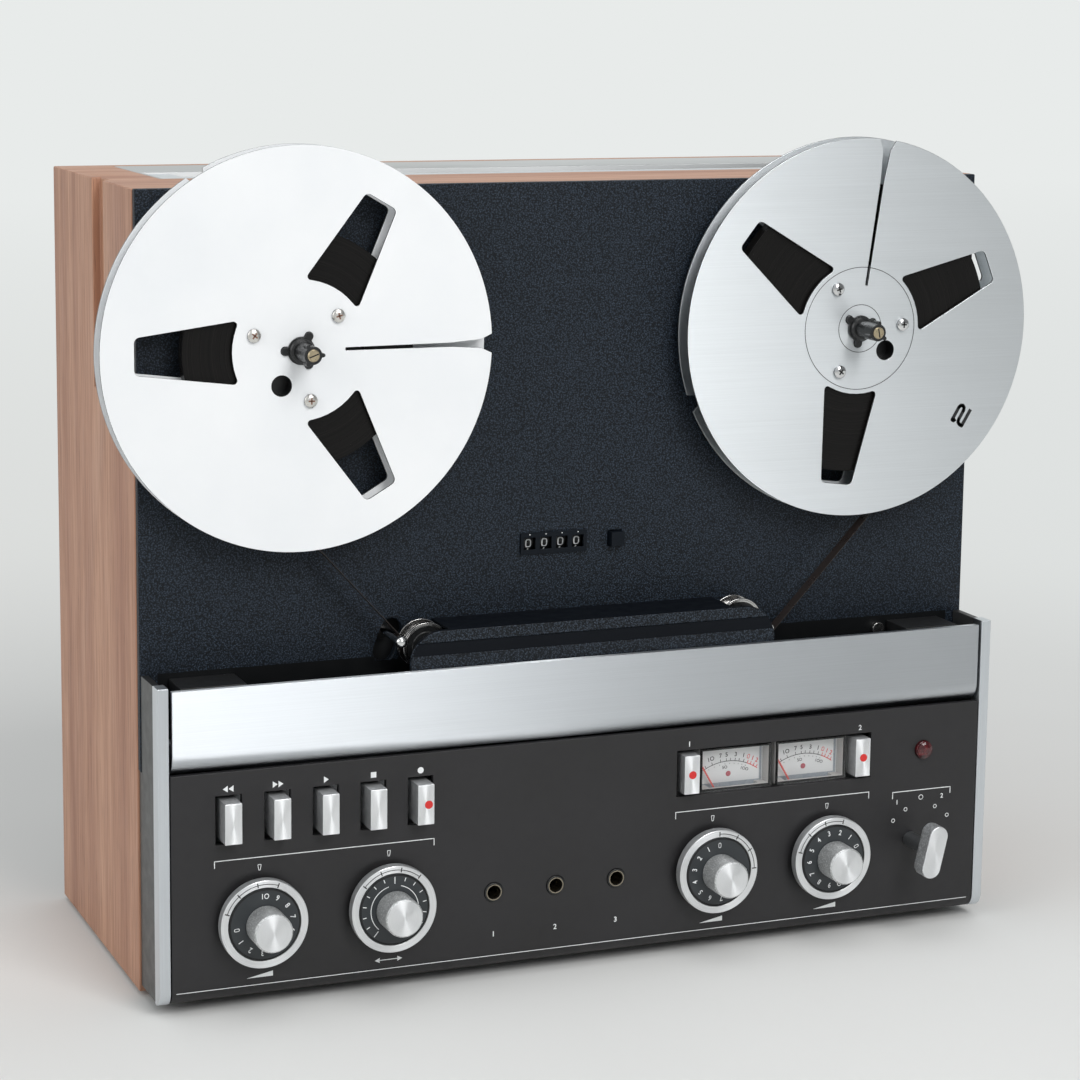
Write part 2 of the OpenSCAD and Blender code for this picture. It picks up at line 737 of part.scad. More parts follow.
module pinch_arm() {
  color("#b4b7ba") place() {
    rod(capstan_x, pinch_z, -deck_t - 1 - pinch_arm_t, -deck_t - 1, pinch_boss_r);
    rod(pinch_pivot_x, pinch_pivot_z, -deck_t - 1 - pinch_arm_t, -deck_t - 1, pinch_boss_r + 1);
    sheet(-deck_t - 1 - pinch_arm_t, pinch_arm_t) polygon([
      [capstan_x, pinch_z - pinch_arm_half], [pinch_pivot_x, pinch_pivot_z - pinch_arm_half - 1],
      [pinch_pivot_x, pinch_pivot_z + pinch_arm_half + 1], [capstan_x, pinch_z + pinch_arm_half]
    ]);
    rod(capstan_x, pinch_z, tape_y - pinch_half - 1.5, -deck_t - pinch_arm_t - 0.5, pinch_axle_r);
    rod(pinch_pivot_x, pinch_pivot_z, -deck_t - 2, chassis_back - 0.5, pinch_shaft_r);
  }
}

module pinch_roller() {
  color("#1b1b1c") place() difference() {
    rod(capstan_x, pinch_z, tape_y - pinch_half, tape_y + pinch_half - 1, pinch_r);
    rod(capstan_x, pinch_z, tape_y - pinch_half - 1, tape_y + pinch_half, pinch_axle_r + run_fit);
  }
}

// flanged guide roller with its own shaft
module guide_roller(x) {
  rod(x, roller_z, tape_y - roller_half - roller_flange, tape_y - roller_half, roller_r);
  rod(x, roller_z, tape_y - roller_half, tape_y + roller_half, roller_core_r);
  rod(x, roller_z, tape_y + roller_half, tape_y + roller_half + roller_flange, roller_r);
  rod(x, roller_z, tape_y, -deck_t - 0.5, 4);
  rod(x, roller_z, -deck_t - 1, chassis_back - 0.5, roller_shaft_r);
}

module left_roller() {
  color("#d3d5d8") place() guide_roller(-left_roller_x);
}

module right_roller() {
  color("#d3d5d8") place() guide_roller(right_roller_x);
}

module tension_arm() {
  color("#3a3b3d") place() {
    difference() {
      union() {
        rod(tension_pivot[0], tension_pivot[1], 1, 4.5, 5);
        rod(tension_pin[0], tension_pin[1], 1, 4.5, 4);
        sheet(1, 3.5) polygon([
          tension_pivot + [0, -4], tension_pin + [0, -3], tension_pin + [0, 3], tension_pivot + [0, 4]
        ]);
      }
      rod(tension_pivot[0], tension_pivot[1], 0, 6, 2 + run_fit);
    }
    rod(tension_pin[0], tension_pin[1], tape_y - tape_w / 2 - 6, 2, tension_pin_r);
    translate([tension_pin[0], tape_y - tape_w / 2 - 6, tension_pin[1]]) sphere(r = tension_pin_r + 0.8);
  }
}

module counter_frame() {
  color("#141516") place() {
    difference() {
      block([counter_left, -deck_t - 1.2, counter_z - bezel_h / 2],
        [counter_right, -deck_t, counter_z + bezel_h / 2]);
      for (k = [0 : 3])
        translate([wheel_x + k * wheel_step, -deck_t, counter_z])
          cube([wheel_w - 1.2, 6, 5.6], center = true);
    }
    for (x = [wheel_x - wheel_step / 2 - 1.6, wheel_x + 3.5 * wheel_step + 0.6])
      block([x, 0, counter_z - 7], [x + 1, wheel_y + 4, counter_z + 7]);
    translate([wheel_x - wheel_step / 2 - 1, wheel_y, counter_z])
      rotate([0, 90, 0]) cylinder(r = axle_r, h = 4 * wheel_step + 1.8);
  }
}

module number_wheel(k) {
  translate([wheel_x + k * wheel_step, wheel_y, counter_z]) rotate([0, 90, 0]) difference() {
    cylinder(r = wheel_r, h = wheel_w, center = true);
    cylinder(r = axle_r + run_fit, h = wheel_w + 2, center = true);
  }
}

module counter_units() {
  color("#202122") place() number_wheel(3);
}

module counter_decades() {
  color("#202122") place()
    for (k = [0 : 2])
      number_wheel(k);
}

module counter_reset() {
  color("#101011") place()
    block([reset_x - reset_w / 2, -deck_t - reset_out, counter_z - reset_w / 2],
      [reset_x + reset_w / 2, 1, counter_z + reset_w / 2]);
}

// three lobes round a spindle
module lobes(reach, wide) {
  for (k = [0 : 2])
    rotate(60 + 120 * k) {
      translate([0, -wide / 2]) square([reach - wide / 2, wide]);
      translate([reach - wide / 2, 0]) circle(r = wide / 2);
    }
}

module spindle(x, turn) {
  rod(x, reel_z, reel_front_y - spindle_out, reel_back_y + platform_t, spindle_r);
  sheet(reel_front_y - 1.2, reel_w + 1.4) translate([x, reel_z]) rotate(turn) lobes(lobe_r, lobe_w);
  rod(x, reel_z, reel_front_y - 1.2, reel_front_y - 0.1, 6.2);
  sheet(reel_front_y - spindle_out, 5) translate([x, reel_z]) rotate(turn + 60) lobes(5.4, 1.8);
  rod(x, reel_z, reel_back_y, reel_back_y + platform_t, platform_r);
  rod(x, reel_z, reel_back_y + 1, stator_y + stator_len - 9, shaft_r);
  rod(x, reel_z, chassis_back + 3, chassis_back + 13, rotor_r);
}

module left_spindle() {
  color("#1d1e20") place() spindle(-reel_x, left_turn);
}

module right_spindle() {
  color("#1d1e20") place() spindle(reel_x, right_turn);
}

// outline of a flange window: straight sides, a round end near the hub and rounded corners
window_span = asin(window_half_in / window_in) - 1;
window_low = window_in * ray(-window_span);
window_outline = concat(
  corner(window_low, [window_out, -window_half_out], [window_out, window_half_out], 2.5),
  corner([window_out, -window_half_out], [window_out, window_half_out], [window_low[0], -window_low[1]], 2.5),
  corner([window_out, window_half_out], [window_low[0], -window_low[1]], window_in * ray(window_span - 6), 1.6),
  [for (k = [1 : 7]) window_in * ray(window_span * (4 - k) / 4)],
  corner(window_in * ray(6 - window_span), window_low, [window_out, -window_half_out], 1.6)
);

// reel flange drawn flat round its centre
module flange_shape(with_hole) {
  difference() {
    circle(r = reel_r);
    circle(r = spindle_r + run_fit);
    lobes(lobe_r + 0.15, lobe_w + 0.3);
    for (k = [0 : 2])
      rotate(60 + 120 * k) polygon(window_outline);
    polygon([
      [20.4, -0.65], [70, -0.9], [84, -2], [reel_r + 1, -4.8],
      [reel_r + 1, 4.8], [84, 2], [70, 0.9], [20.4, 0.65]
    ]);
    for (k = [0 : 2])
      rotate(41 + 120 * k) translate([22.5, 0]) circle(r = 1.6);
    if (with_hole)
      rotate(240) translate([17.5, 0]) circle(r = 4.65);
  }
}

module reel_front(x, turn) {
  sheet(reel_front_y, flange_t) translate([x, reel_z]) rotate(turn) flange_shape(true);
}

module reel_back(x, turn) {
  sheet(reel_back_y - flange_t, flange_t) translate([x, reel_z]) rotate(turn + 120) flange_shape(false);
  hub_w = reel_w - 2 * flange_t - seat;
  sheet(reel_front_y + flange_t, hub_w) translate([x, reel_z]) rotate(turn) difference() {
    circle(r = hub_r);
    circle(r = spindle_r + run_fit);
    lobes(lobe_r + 0.15, lobe_w + 0.3);
    rotate(240) translate([17.5, 0]) circle(r = 4.65);
    translate([20.4, -0.65]) square([hub_r, 1.3]);
    for (k = [0 : 2])
      rotate(41 + 120 * k) translate([22.5, 0]) circle(r = 1.6);
  }
  for (k = [0 : 2]) {
    sx = x + 22.5 * cos(turn + 41 + 120 * k);
    sz = reel_z + 22.5 * sin(turn + 41 + 120 * k);
    rod(sx, sz, reel_front_y - 0.8, reel_front_y, 3);
    rod(sx, sz, reel_front_y - 0.1, reel_back_y - flange_t - 1, 1.5);
  }
}

module tape_pack(x, r) {
  difference() {
    rod(x, reel_z, tape_y - tape_w / 2, tape_y + tape_w / 2, r);
    rod(x, reel_z, tape_y - tape_w, tape_y + tape_w, hub_r + 0.05);
  }
}

module left_reel_front() {
  color("#f2f3f4") place() reel_front(-reel_x, left_turn);
}

module left_reel_back() {
  color("#dfe1e3") place() reel_back(-reel_x, left_turn);
}

module left_tape_pack() {
  color("#241d1a") place() tape_pack(-reel_x, pack_left_r);
}

module right_reel_front() {
  color("#b9bfc6") place() reel_front(reel_x, right_turn);
}

module right_reel_back() {
  color("#aab0b7") place() reel_back(reel_x, right_turn);
}

module right_tape_pack() {
  color("#241d1a") place() tape_pack(reel_x, pack_right_r);
}

module tape() {
  color("#3a2a22") place()
    sheet(tape_y - tape_w / 2, tape_w)
      polygon(concat(tape_side(tape_t / 2), backwards(tape_side(-tape_t / 2))));
}

stem_w = 4;
stem_h = 8;
stem_end = bracket_y + bracket_t + 1;

module push_key(x) {
  block([x - key_w / 2, panel_y - key_out, key_z - key_h / 2],
    [x + key_w / 2, panel_y + 7.5, key_z + key_h / 2]);
  block([x - stem_w / 2, panel_y + 7, key_z - stem_h / 2], [x + stem_w / 2, stem_end, key_z + stem_h / 2]);
}

module key_rewind() {
  color("#d9dbdd") place() push_key(-key_first);
}

module key_forward() {
  color("#d9dbdd") place() push_key(-key_first + key_step);
}

module key_play() {
  color("#d9dbdd") place() push_key(-key_first + 2 * key_step);
}

module key_stop() {
  color("#d9dbdd") place() push_key(-key_first + 3 * key_step);
}

module key_record() {
  color("#d9dbdd") place() push_key(-key_first + 4 * key_step);
}

module record_key_one() {
  color("#d9dbdd") place() translate([0, key_travel, 0]) push_key(record_key_xs[0]);
}

module record_key_two() {
  color("#d9dbdd") place() translate([0, key_travel, 0]) push_key(record_key_xs[1]);
}

// body of a turning control, open for its shaft
module control_body(x, z) {
  difference() {
    rod(x, z, pot_y, bracket_y - seat, pot_r);
    rod(x, z, pot_y - 1, pot_y + 8, knob_shaft_r + run_fit);
  }
}

module control_bracket() {
  color("#55585b") place() {
    difference() {
      union() {
        block([-bracket_half, bracket_y, base_plate_z], [bracket_half, bracket_y + bracket_t, bracket_top]);
        for (s = [-1, 1])
          translate([s * (bracket_half - bracket_leg / 2), (bracket_y + chassis_y) / 2, bracket_mid])
            cube([bracket_leg, chassis_y - bracket_y, bracket_top - base_plate_z], center = true);
      }
      for (k = [0 : 4])
        translate([-key_first + k * key_step, bracket_y, key_z])
          cube([stem_w + 2 * slide_fit, 4 * bracket_t, stem_h + 2 * slide_fit], center = true);
      for (x = record_key_xs)
        translate([x, bracket_y, key_z])
          cube([stem_w + 2 * slide_fit, 4 * bracket_t, stem_h + 2 * slide_fit], center = true);
      for (x = jack_xs)
        rod(x, knob_z, bracket_y - 1, bracket_y + bracket_t + 1, jack_body_r + slide_fit);
    }
    for (x = knob_xs)
      control_body(x, knob_z);
    control_body(power_x, power_z);
  }
}

module meter_cases() {
  color("#e9e9e4") place()
    for (x = meter_xs) {
      difference() {
        union() {
          block([x - meter_w / 2, panel_y + 2.3, key_z - meter_h / 2],
            [x + meter_w / 2, bracket_y, key_z + meter_h / 2]);
          block([x - meter_foot, panel_y + panel_t + 0.2, meter_low],
            [x + meter_foot, bracket_y, key_z - meter_h / 2 + 1]);
        }
        block([x - meter_w / 2 + meter_wall, panel_y, key_z - meter_h / 2 + meter_wall],
          [x + meter_w / 2 - meter_wall, meter_face_y, key_z + meter_h / 2 - meter_wall]);
        block([x - meter_foot + meter_wall, panel_y + panel_t + 0.9, meter_low + meter_wall],
          [x + meter_foot - meter_wall, meter_face_y, key_z]);
      }
      rod(x, needle_pivot_z, meter_face_y - 4, meter_face_y + 0.5, 0.8);
    }
}

module meter_glasses() {
  color("#dfe8ee") place()
    for (x = meter_xs)
      block([x - meter_w / 2, panel_y + 2.3 - glass_t, key_z - meter_h / 2],
        [x + meter_w / 2, panel_y + 2.3, key_z + meter_h / 2]);
}

module needle(x) {
  difference() {
    union() {
      rod(x, needle_pivot_z, meter_face_y - 3.2, meter_face_y - 1.2, 1.8);
      translate([x, meter_face_y - 2.6, needle_pivot_z]) rotate([0, -needle_lean, 0])
        translate([-0.35, 0, 1]) cube([0.7, 0.8, needle_len - 1]);
    }
    rod(x, needle_pivot_z, meter_face_y - 5, meter_face_y, 0.8 + run_fit);
  }
}

module needle_one() {
  color("#b3211c") place() needle(meter_xs[0]);
}

module needle_two() {
  color("#b3211c") place() needle(meter_xs[1]);
}

module jacks() {
  color("#1a1a1b") place()
    for (x = jack_xs)
      difference() {
        union() {
          rod(x, knob_z, panel_y - 0.6, panel_y + panel_t + 0.1, jack_ring_r);
          rod(x, knob_z, panel_y + panel_t, panel_y - 0.6 + jack_depth + 2, jack_body_r);
        }
        rod(x, knob_z, panel_y - 2, panel_y - 0.6 + jack_depth, jack_r);
      }
}

module power_lamp() {
  color("#7a1216") place() {
    rod(lamp_x, key_z, panel_y - 1.6, panel_y + panel_t, lamp_r);
    rod(lamp_x, key_z, panel_y + panel_t - 0.5, bracket_y, 3.4);
  }
}

transformer_x = -25;
transformer_w = 70;
transformer_d = 60;
transformer_h = 66;
transformer_back = 88;
card_t = 2;
card_y = 30;
left_board_in = 16.5;
left_board_step = 20;
left_board_h = 82;
right_board_in = 82.5;
right_board_step = 24;
right_board_h = 76;

module electronics() {
  color("#3c5a3f") place() {
    block([transformer_x - transformer_w / 2, case_d - transformer_back, base_plate_z],
      [transformer_x + transformer_w / 2, case_d - transformer_back + transformer_d,
        base_plate_z + transformer_h]);
    for (k = [0 : 4])
      translate([left_board_in + left_board_step * k - inner_w / 2, card_y, base_plate_z])
        cube([card_t, case_d - card_y - 23, left_board_h]);
    for (k = [0 : 2])
      translate([inner_w / 2 - right_board_in + right_board_step * k, card_y, base_plate_z])
        cube([card_t, case_d - card_y - 30, right_board_h]);
    for (x = switch_xs)
      block([x - 9, 0, switch_z - 4], [x + 9, chassis_y, switch_z + 4]);
  }
}

// dial, grip and shaft of a two part knob
module inner_knob(x) {
  rod(x, knob_z, panel_y - knob_out, panel_y - ring_out + 0.4, grip_r);
  rod(x, knob_z, panel_y - ring_out - 0.2, panel_y - ring_out + 2, dial_r);
  rod(x, knob_z, panel_y - ring_out + 1, pot_y + 7.5, knob_shaft_r);
}

ring_deep = 4.7;
ring_foot_r = 15;

// outer ring on its narrower foot, with the sleeve that turns round the knob's shaft
module outer_ring(x) {
  difference() {
    union() {
      rod(x, knob_z, panel_y - ring_out, panel_y - ring_out + ring_deep, ring_r);
      rod(x, knob_z, panel_y - ring_out + ring_deep - 0.5, panel_y - 0.5, ring_foot_r);
      rod(x, knob_z, panel_y - 1, pot_y - 0.3, sleeve_r);
    }
    rod(x, knob_z, panel_y - ring_out - 1, panel_y - ring_out + 2.5, dial_r + slide_fit);
    rod(x, knob_z, panel_y - ring_out - 1, pot_y + 1, knob_shaft_r + run_fit);
  }
}

module volume_knob() {
  color("#cfd1d4") place() inner_knob(knob_xs[0]);
}

module balance_knob() {
  color("#cfd1d4") place() inner_knob(knob_xs[1]);
}

module level_knob_one() {
  color("#cfd1d4") place() inner_knob(knob_xs[2]);
}

module level_knob_two() {
  color("#cfd1d4") place() inner_knob(knob_xs[3]);
}

module mode_ring() {
  color("#c9cbce") place() outer_ring(knob_xs[0]);
}

module input_ring() {
  color("#c9cbce") place() outer_ring(knob_xs[1]);
}

module source_ring_one() {
  color("#c9cbce") place() outer_ring(knob_xs[2]);
}

module source_ring_two() {
  color("#c9cbce") place() outer_ring(knob_xs[3]);
}

power_bar_w = 9.7;
power_bar_half = 7.85;
power_bar_deep = 8.5;
power_neck_r = 3.6;

module power_knob() {
  color("#d3d5d7") place() {
    sheet(panel_y - power_out, power_bar_deep) translate([power_x, power_z]) rotate(power_tilt)
      round_slot(0, -power_bar_half, power_bar_half, power_bar_w / 2);
    rod(power_x, power_z, panel_y - power_out + power_bar_deep - 1, panel_y - 0.6, power_neck_r);
    rod(power_x, power_z, panel_y - 1, pot_y + 7.5, knob_shaft_r);
  }
}

module slide_switch(x) {
  left = x - switch_travel / 2 - 2.4;
  block([left, -deck_t - 5, switch_z - 1.8], [left + 4.8, -0.4, switch_z + 1.8]);
}

module speaker_switch() {
  color("#2b2c2d") place() slide_switch(switch_xs[0]);
}

module reel_motor_switch() {
  color("#2b2c2d") place() slide_switch(switch_xs[1]);
}

wood_case();
rear_cover();
rear_sockets();
case_feet();
handle_tray();
carry_handle();
chassis_frame();
deck_plate();
front_housing();
control_panel();
trim_rails();
flap();
head_cover();
head_block();
motors();
capstan();
pinch_arm();
pinch_roller();
left_roller();
right_roller();
tension_arm();
counter_frame();
counter_units();
counter_decades();
counter_reset();
left_spindle();
right_spindle();
left_reel_front();
left_reel_back();
left_tape_pack();
right_reel_front();
right_reel_back();
right_tape_pack();
tape();
key_rewind();
key_forward();
key_play();
key_stop();
key_record();
record_key_one();
record_key_two();
control_bracket();
meter_cases();
meter_glasses();
needle_one();
needle_two();
jacks();
power_lamp();
electronics();
volume_knob();
balance_knob();
level_knob_one();
level_knob_two();
mode_ring();
input_ring();
source_ring_one();
source_ring_two();
power_knob();
speaker_switch();
reel_motor_switch();
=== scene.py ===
"""Looks, studio and camera for the reel-to-reel tape recorder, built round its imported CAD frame.

Lengths are millimetres unless a name ends in _m. Depths count from the wood case's front plane and
grow towards the back, so spot(x, depth, z) gives the place in the frame, in metres.
"""

import json
import math

import bmesh
import bpy
from mathutils import Matrix, Vector


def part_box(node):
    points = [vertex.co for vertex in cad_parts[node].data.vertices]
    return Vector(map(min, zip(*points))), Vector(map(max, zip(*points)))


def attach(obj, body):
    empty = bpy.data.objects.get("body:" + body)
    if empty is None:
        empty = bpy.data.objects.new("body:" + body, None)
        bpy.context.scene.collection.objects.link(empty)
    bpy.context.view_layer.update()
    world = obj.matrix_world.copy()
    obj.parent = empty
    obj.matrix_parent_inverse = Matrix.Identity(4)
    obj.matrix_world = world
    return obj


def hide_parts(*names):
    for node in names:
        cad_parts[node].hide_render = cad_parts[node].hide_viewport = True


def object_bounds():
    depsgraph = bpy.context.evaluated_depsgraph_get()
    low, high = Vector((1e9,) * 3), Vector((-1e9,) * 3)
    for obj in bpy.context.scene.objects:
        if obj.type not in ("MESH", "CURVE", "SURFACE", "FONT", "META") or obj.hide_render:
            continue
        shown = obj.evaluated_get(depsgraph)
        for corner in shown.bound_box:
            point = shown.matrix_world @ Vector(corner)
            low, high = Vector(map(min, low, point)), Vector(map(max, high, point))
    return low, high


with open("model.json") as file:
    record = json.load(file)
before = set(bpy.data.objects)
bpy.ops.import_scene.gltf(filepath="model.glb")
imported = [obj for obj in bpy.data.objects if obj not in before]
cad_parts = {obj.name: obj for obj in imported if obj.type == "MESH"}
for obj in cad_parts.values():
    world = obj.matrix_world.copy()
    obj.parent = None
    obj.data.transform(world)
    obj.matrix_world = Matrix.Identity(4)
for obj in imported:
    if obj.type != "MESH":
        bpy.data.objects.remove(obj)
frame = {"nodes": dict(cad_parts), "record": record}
cad_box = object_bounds()

MM = 0.001
PROUD = 0.05
WOOD_FRONT_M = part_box("wood_case")[0].y
RECORD = frame["record"]
BODY_OF = {node: body for body, nodes in RECORD["behaviour"]["bodies"].items() for node in nodes}


# Places and sizes

def spot(x, depth, z):
    """Place in the frame of a point given in millimetres."""
    return Vector((x * MM, WOOD_FRONT_M + depth * MM, z * MM))


def limits(node):
    """Lowest and highest corner of a node as (x, depth, z), in millimetres."""
    low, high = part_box(node)
    shift = Vector((0, WOOD_FRONT_M, 0))
    return (low - shift) / MM, (high - shift) / MM


def middle(node):
    """Middle of a node's box as (x, z), in millimetres."""
    low, high = limits(node)
    return (low.x + high.x) / 2, (low.z + high.z) / 2


def front(node):
    """Depth of a node's foremost point."""
    return limits(node)[0].y


def polar(centre, radius, degrees):
    """Point (x, z) round a centre, counted anticlockwise from +X as seen from the front."""
    angle = math.radians(degrees)
    return centre[0] + radius * math.cos(angle), centre[1] + radius * math.sin(angle)


def leaning(centre, turn, across, up):
    """Point (x, z) that lies across and up from a centre, turned round it."""
    angle = math.radians(turn)
    return (centre[0] + across * math.cos(angle) - up * math.sin(angle),
            centre[1] + across * math.sin(angle) + up * math.cos(angle))


# Materials

def srgb(red, green, blue):
    """Linear colour from the eight-bit values that a picture shows."""
    def linear(value):
        share = value / 255
        if share <= 0.04045:
            return share / 12.92
        return ((share + 0.055) / 1.055) ** 2.4
    return linear(red), linear(green), linear(blue), 1


class Nodes:
    """The few node steps that the finishes and the world share."""

    def __init__(self, tree):
        self.tree = tree

    def node(self, kind, feeds=(), **settings):
        """A shader node with its settings, and what its inputs get: plain values or other sockets."""
        made = self.tree.nodes.new("ShaderNode" + kind)
        for key, value in settings.items():
            setattr(made, key, value)
        for name, value in dict(feeds).items():
            self.feed(made.inputs[name], value)
        return made

    def feed(self, socket, value):
        if isinstance(value, bpy.types.NodeSocket):
            self.tree.links.new(value, socket)
        else:
            socket.default_value = value

    def place(self, stretch=(1, 1, 1), centre=(0, 0, 0), kind="Object"):
        """Coordinates round a centre, scaled along each axis; those of the object are in metres."""
        coords = self.node("TexCoord").outputs[kind]
        moved = self.node("VectorMath", {0: coords, 1: centre}, operation="SUBTRACT").outputs["Vector"]
        return self.node("VectorMath", {0: moved, 1: stretch}, operation="MULTIPLY").outputs["Vector"]

    def noise(self, size, stretch=(1, 1, 1), detail=3.0, vector=None):
        """Noise whose patches are about size across, longer where stretch is below one."""
        feeds = {"Scale": 1 / (size * MM), "Detail": detail, "Vector": vector or self.place(stretch)}
        return self.node("TexNoise", feeds).outputs["Fac"]

    def cells(self, size, smooth=1.0):
        """Rounded cells about size across, for grain."""
        feeds = {"Scale": 1 / (size * MM), "Smoothness": smooth, "Vector": self.place()}
        return self.node("TexVoronoi", feeds, feature="SMOOTH_F1").outputs["Distance"]

    def rings(self, centre, size):
        """Noise that changes with the distance from an axis along the depth."""
        return self.noise(size, vector=self.length(self.place((1, 0, 1), centre)), detail=4.0)

    def turning(self, marks):
        """Noise in rings round the piece's own middle, about so many across its radius."""
        flat = self.place((2, 0, 2), (0.5, 0.5, 0.5), "Generated")
        feeds = {"Scale": marks, "Detail": 3, "W": self.length(flat)}
        return self.node("TexNoise", feeds, noise_dimensions="1D").outputs["Fac"]

    def spread(self, value, low, high, start=0.3, stop=0.7, steps="LINEAR"):
        """A value between start and stop laid out from low to high."""
        feeds = {"Value": value, "From Min": start, "From Max": stop, "To Min": low, "To Max": high}
        return self.node("MapRange", feeds, interpolation_type=steps).outputs["Result"]

    def combine(self, first, second, operation="ADD"):
        """Two numbers or number sockets put together."""
        return self.node("Math", {0: first, 1: second}, operation=operation).outputs["Value"]

    def axis(self, vector, name):
        """One part of a vector: X, Y or Z."""
        return self.node("SeparateXYZ", {"Vector": vector}).outputs[name]

    def length(self, vector):
        return self.node("VectorMath", {0: vector}, operation="LENGTH").outputs["Value"]

    def rays(self, *kinds):
        """One for rays of any of these kinds, such as Camera or Glossy."""
        path = self.node("LightPath")
        found = path.outputs[f"Is {kinds[0]} Ray"]
        for kind in kinds[1:]:
            found = self.combine(found, path.outputs[f"Is {kind} Ray"], "MAXIMUM")
        return found

    def surface(self, factor, first, second, output="Material Output"):
        """Ends the tree in a mix of two shaders."""
        made = self.node("MixShader", {"Fac": factor, 1: first, 2: second})
        self.feed(self.tree.nodes[output].inputs["Surface"], made.outputs["Shader"])

    def mix(self, factor, first, second):
        """Colour between two colours or colour sockets."""
        return self.node("Mix", {"Factor": factor, 6: first, 7: second}, data_type="RGBA").outputs[2]


class Look(Nodes):
    """A Principled material."""

    def __init__(self, name, colour, roughness, metallic=0.0, **sockets):
        self.material = bpy.data.materials.new(name)
        self.material.use_nodes = True
        super().__init__(self.material.node_tree)
        self.shader = self.tree.nodes["Principled BSDF"]
        sockets.update(Base_Color=colour, Roughness=roughness, Metallic=metallic)
        for socket, value in sockets.items():
            self.feed(self.shader.inputs[socket.replace("_", " ")], value)

    def tint(self, colour):
        self.feed(self.shader.inputs["Base Color"], colour)

    def drift(self, size, first, second, detail=4):
        """Colour that wanders between two colours, in patches about size across."""
        self.tint(self.mix(self.spread(self.noise(size, detail=detail), 0, 1), first, second))

    def gloss(self, value):
        self.feed(self.shader.inputs["Roughness"], value)

    def sheen(self, size, low, high, detail=3):
        """Roughness that wanders from low to high, in patches about size across."""
        self.gloss(self.spread(self.noise(size, detail=detail), low, high))

    def bump(self, height, depth, strength=1.0):
        made = self.node("Bump", {"Strength": strength, "Distance": depth * MM, "Height": height})
        self.feed(self.shader.inputs["Normal"], made.outputs["Normal"])

    def brushed_about(self, axis):
        """Brushing that runs round an axis of the piece."""
        made = self.node("Tangent", direction_type="RADIAL", axis=axis)
        self.feed(self.shader.inputs["Tangent"], made.outputs["Tangent"])


def walnut():
    """Oiled veneer, grain upright on the sides and along X on the top and bottom."""
    look = Look("walnut_veneer", srgb(172, 128, 104), 0.5)
    up = (1, 1, 0.03)
    along = (0.03, 1, 1)
    facing = look.axis(look.node("NewGeometry").outputs["Normal"], "Z")
    level = look.combine(look.combine(facing, 0, "ABSOLUTE"), 0.6, "GREATER_THAN")
    ways = {"Factor": level, 4: look.place(up), 5: look.place(along)}
    way = look.node("Mix", ways, data_type="VECTOR").outputs[1]
    broad = look.noise(14, vector=way, detail=3)
    fine = look.noise(1.6, vector=way, detail=5)
    pores = look.noise(0.55, vector=way, detail=2)
    base = look.mix(look.spread(broad, 0, 1), srgb(160, 112, 88), srgb(194, 148, 120))
    streaked = look.mix(look.spread(fine, 0, 0.5, 0.45, 0.75), base, srgb(126, 86, 68))
    pored = look.mix(look.spread(pores, 0, 0.75, 0.6, 0.78), streaked, srgb(88, 56, 42))
    look.tint(pored)
    look.gloss(look.spread(fine, 0.42, 0.6))
    look.bump(look.combine(fine, look.spread(pores, 0, -0.8, 0.6, 0.78)), 0.06, 0.5)
    return look


def dimmed(colour, share):
    return tuple(share * part for part in colour[:3]) + (1,)


def grained_black(name, colour, lift):
    """Black leather-grain coat."""
    look = Look(name, colour, 0.42, 0.0, Specular_IOR_Level=0.22)
    cells = look.cells(0.8, 0.6)
    broken = look.noise(0.5, detail=4)
    height = look.combine(cells, look.spread(broken, -0.35, 0.35))
    look.tint(look.mix(look.spread(height, 0, 1, 0.0, 0.55), lift, colour))
    look.sheen(30, 0.38, 0.5, 2)
    look.bump(height, 0.16, 0.85)
    return look


def satin_coat(name, colour, lift, roughness, shine=0.5):
    """Even satin paint with a faint orange peel and small colour drift."""
    look = Look(name, colour, roughness, Specular_IOR_Level=shine)
    look.drift(45, colour, lift)
    look.sheen(6, roughness - 0.05, roughness + 0.06)
    look.bump(look.noise(0.5, detail=3), 0.02, 0.35)
    return look


def moulded(name, colour, lift, roughness):
    """Moulded plastic or rubber with fine spark texture."""
    look = Look(name, colour, roughness)
    look.drift(4, colour, lift)
    look.sheen(1.5, roughness - 0.06, roughness + 0.08)
    look.bump(look.noise(0.35, detail=2), 0.03, 0.4)
    return look


def brushed(name, colour, roughness, along, anisotropy, lean=0.0):
    """Aluminium brushed along one axis, or leaning from it by a share of a turn."""
    look = Look(name, colour, roughness, 1.0, Anisotropic=anisotropy, Anisotropic_Rotation=0.25 + lean)
    stretch = {"X": (0.006, 1, 1), "Z": (1, 1, 0.006)}[along]
    lines = look.noise(0.3, stretch, detail=4)
    patches = look.noise(40, (0.4, 1, 1), detail=2)
    look.tint(look.mix(look.spread(lines, 0, 1), dimmed(colour, 0.94), colour))
    even = look.spread(patches, roughness - 0.02, roughness + 0.03)
    look.gloss(look.combine(look.spread(lines, -0.025, 0.03), even))
    look.bump(lines, 0.004, 0.5)
    look.brushed_about({"X": "Z", "Z": "X"}[along])
    return look


def spun(name, colour, roughness, anisotropy):
    """Aluminium faced on a lathe, with fine turning marks round its own axis."""
    look = Look(name, colour, roughness, 1.0, Anisotropic=anisotropy, Anisotropic_Rotation=0.25)
    marks = look.turning(45)
    look.tint(look.mix(look.spread(marks, 0, 1), dimmed(colour, 0.9), colour))
    look.sheen(2.5, roughness - 0.02, roughness + 0.03)
    look.bump(marks, 0.004, 0.35)
    look.brushed_about("Y")
    return look


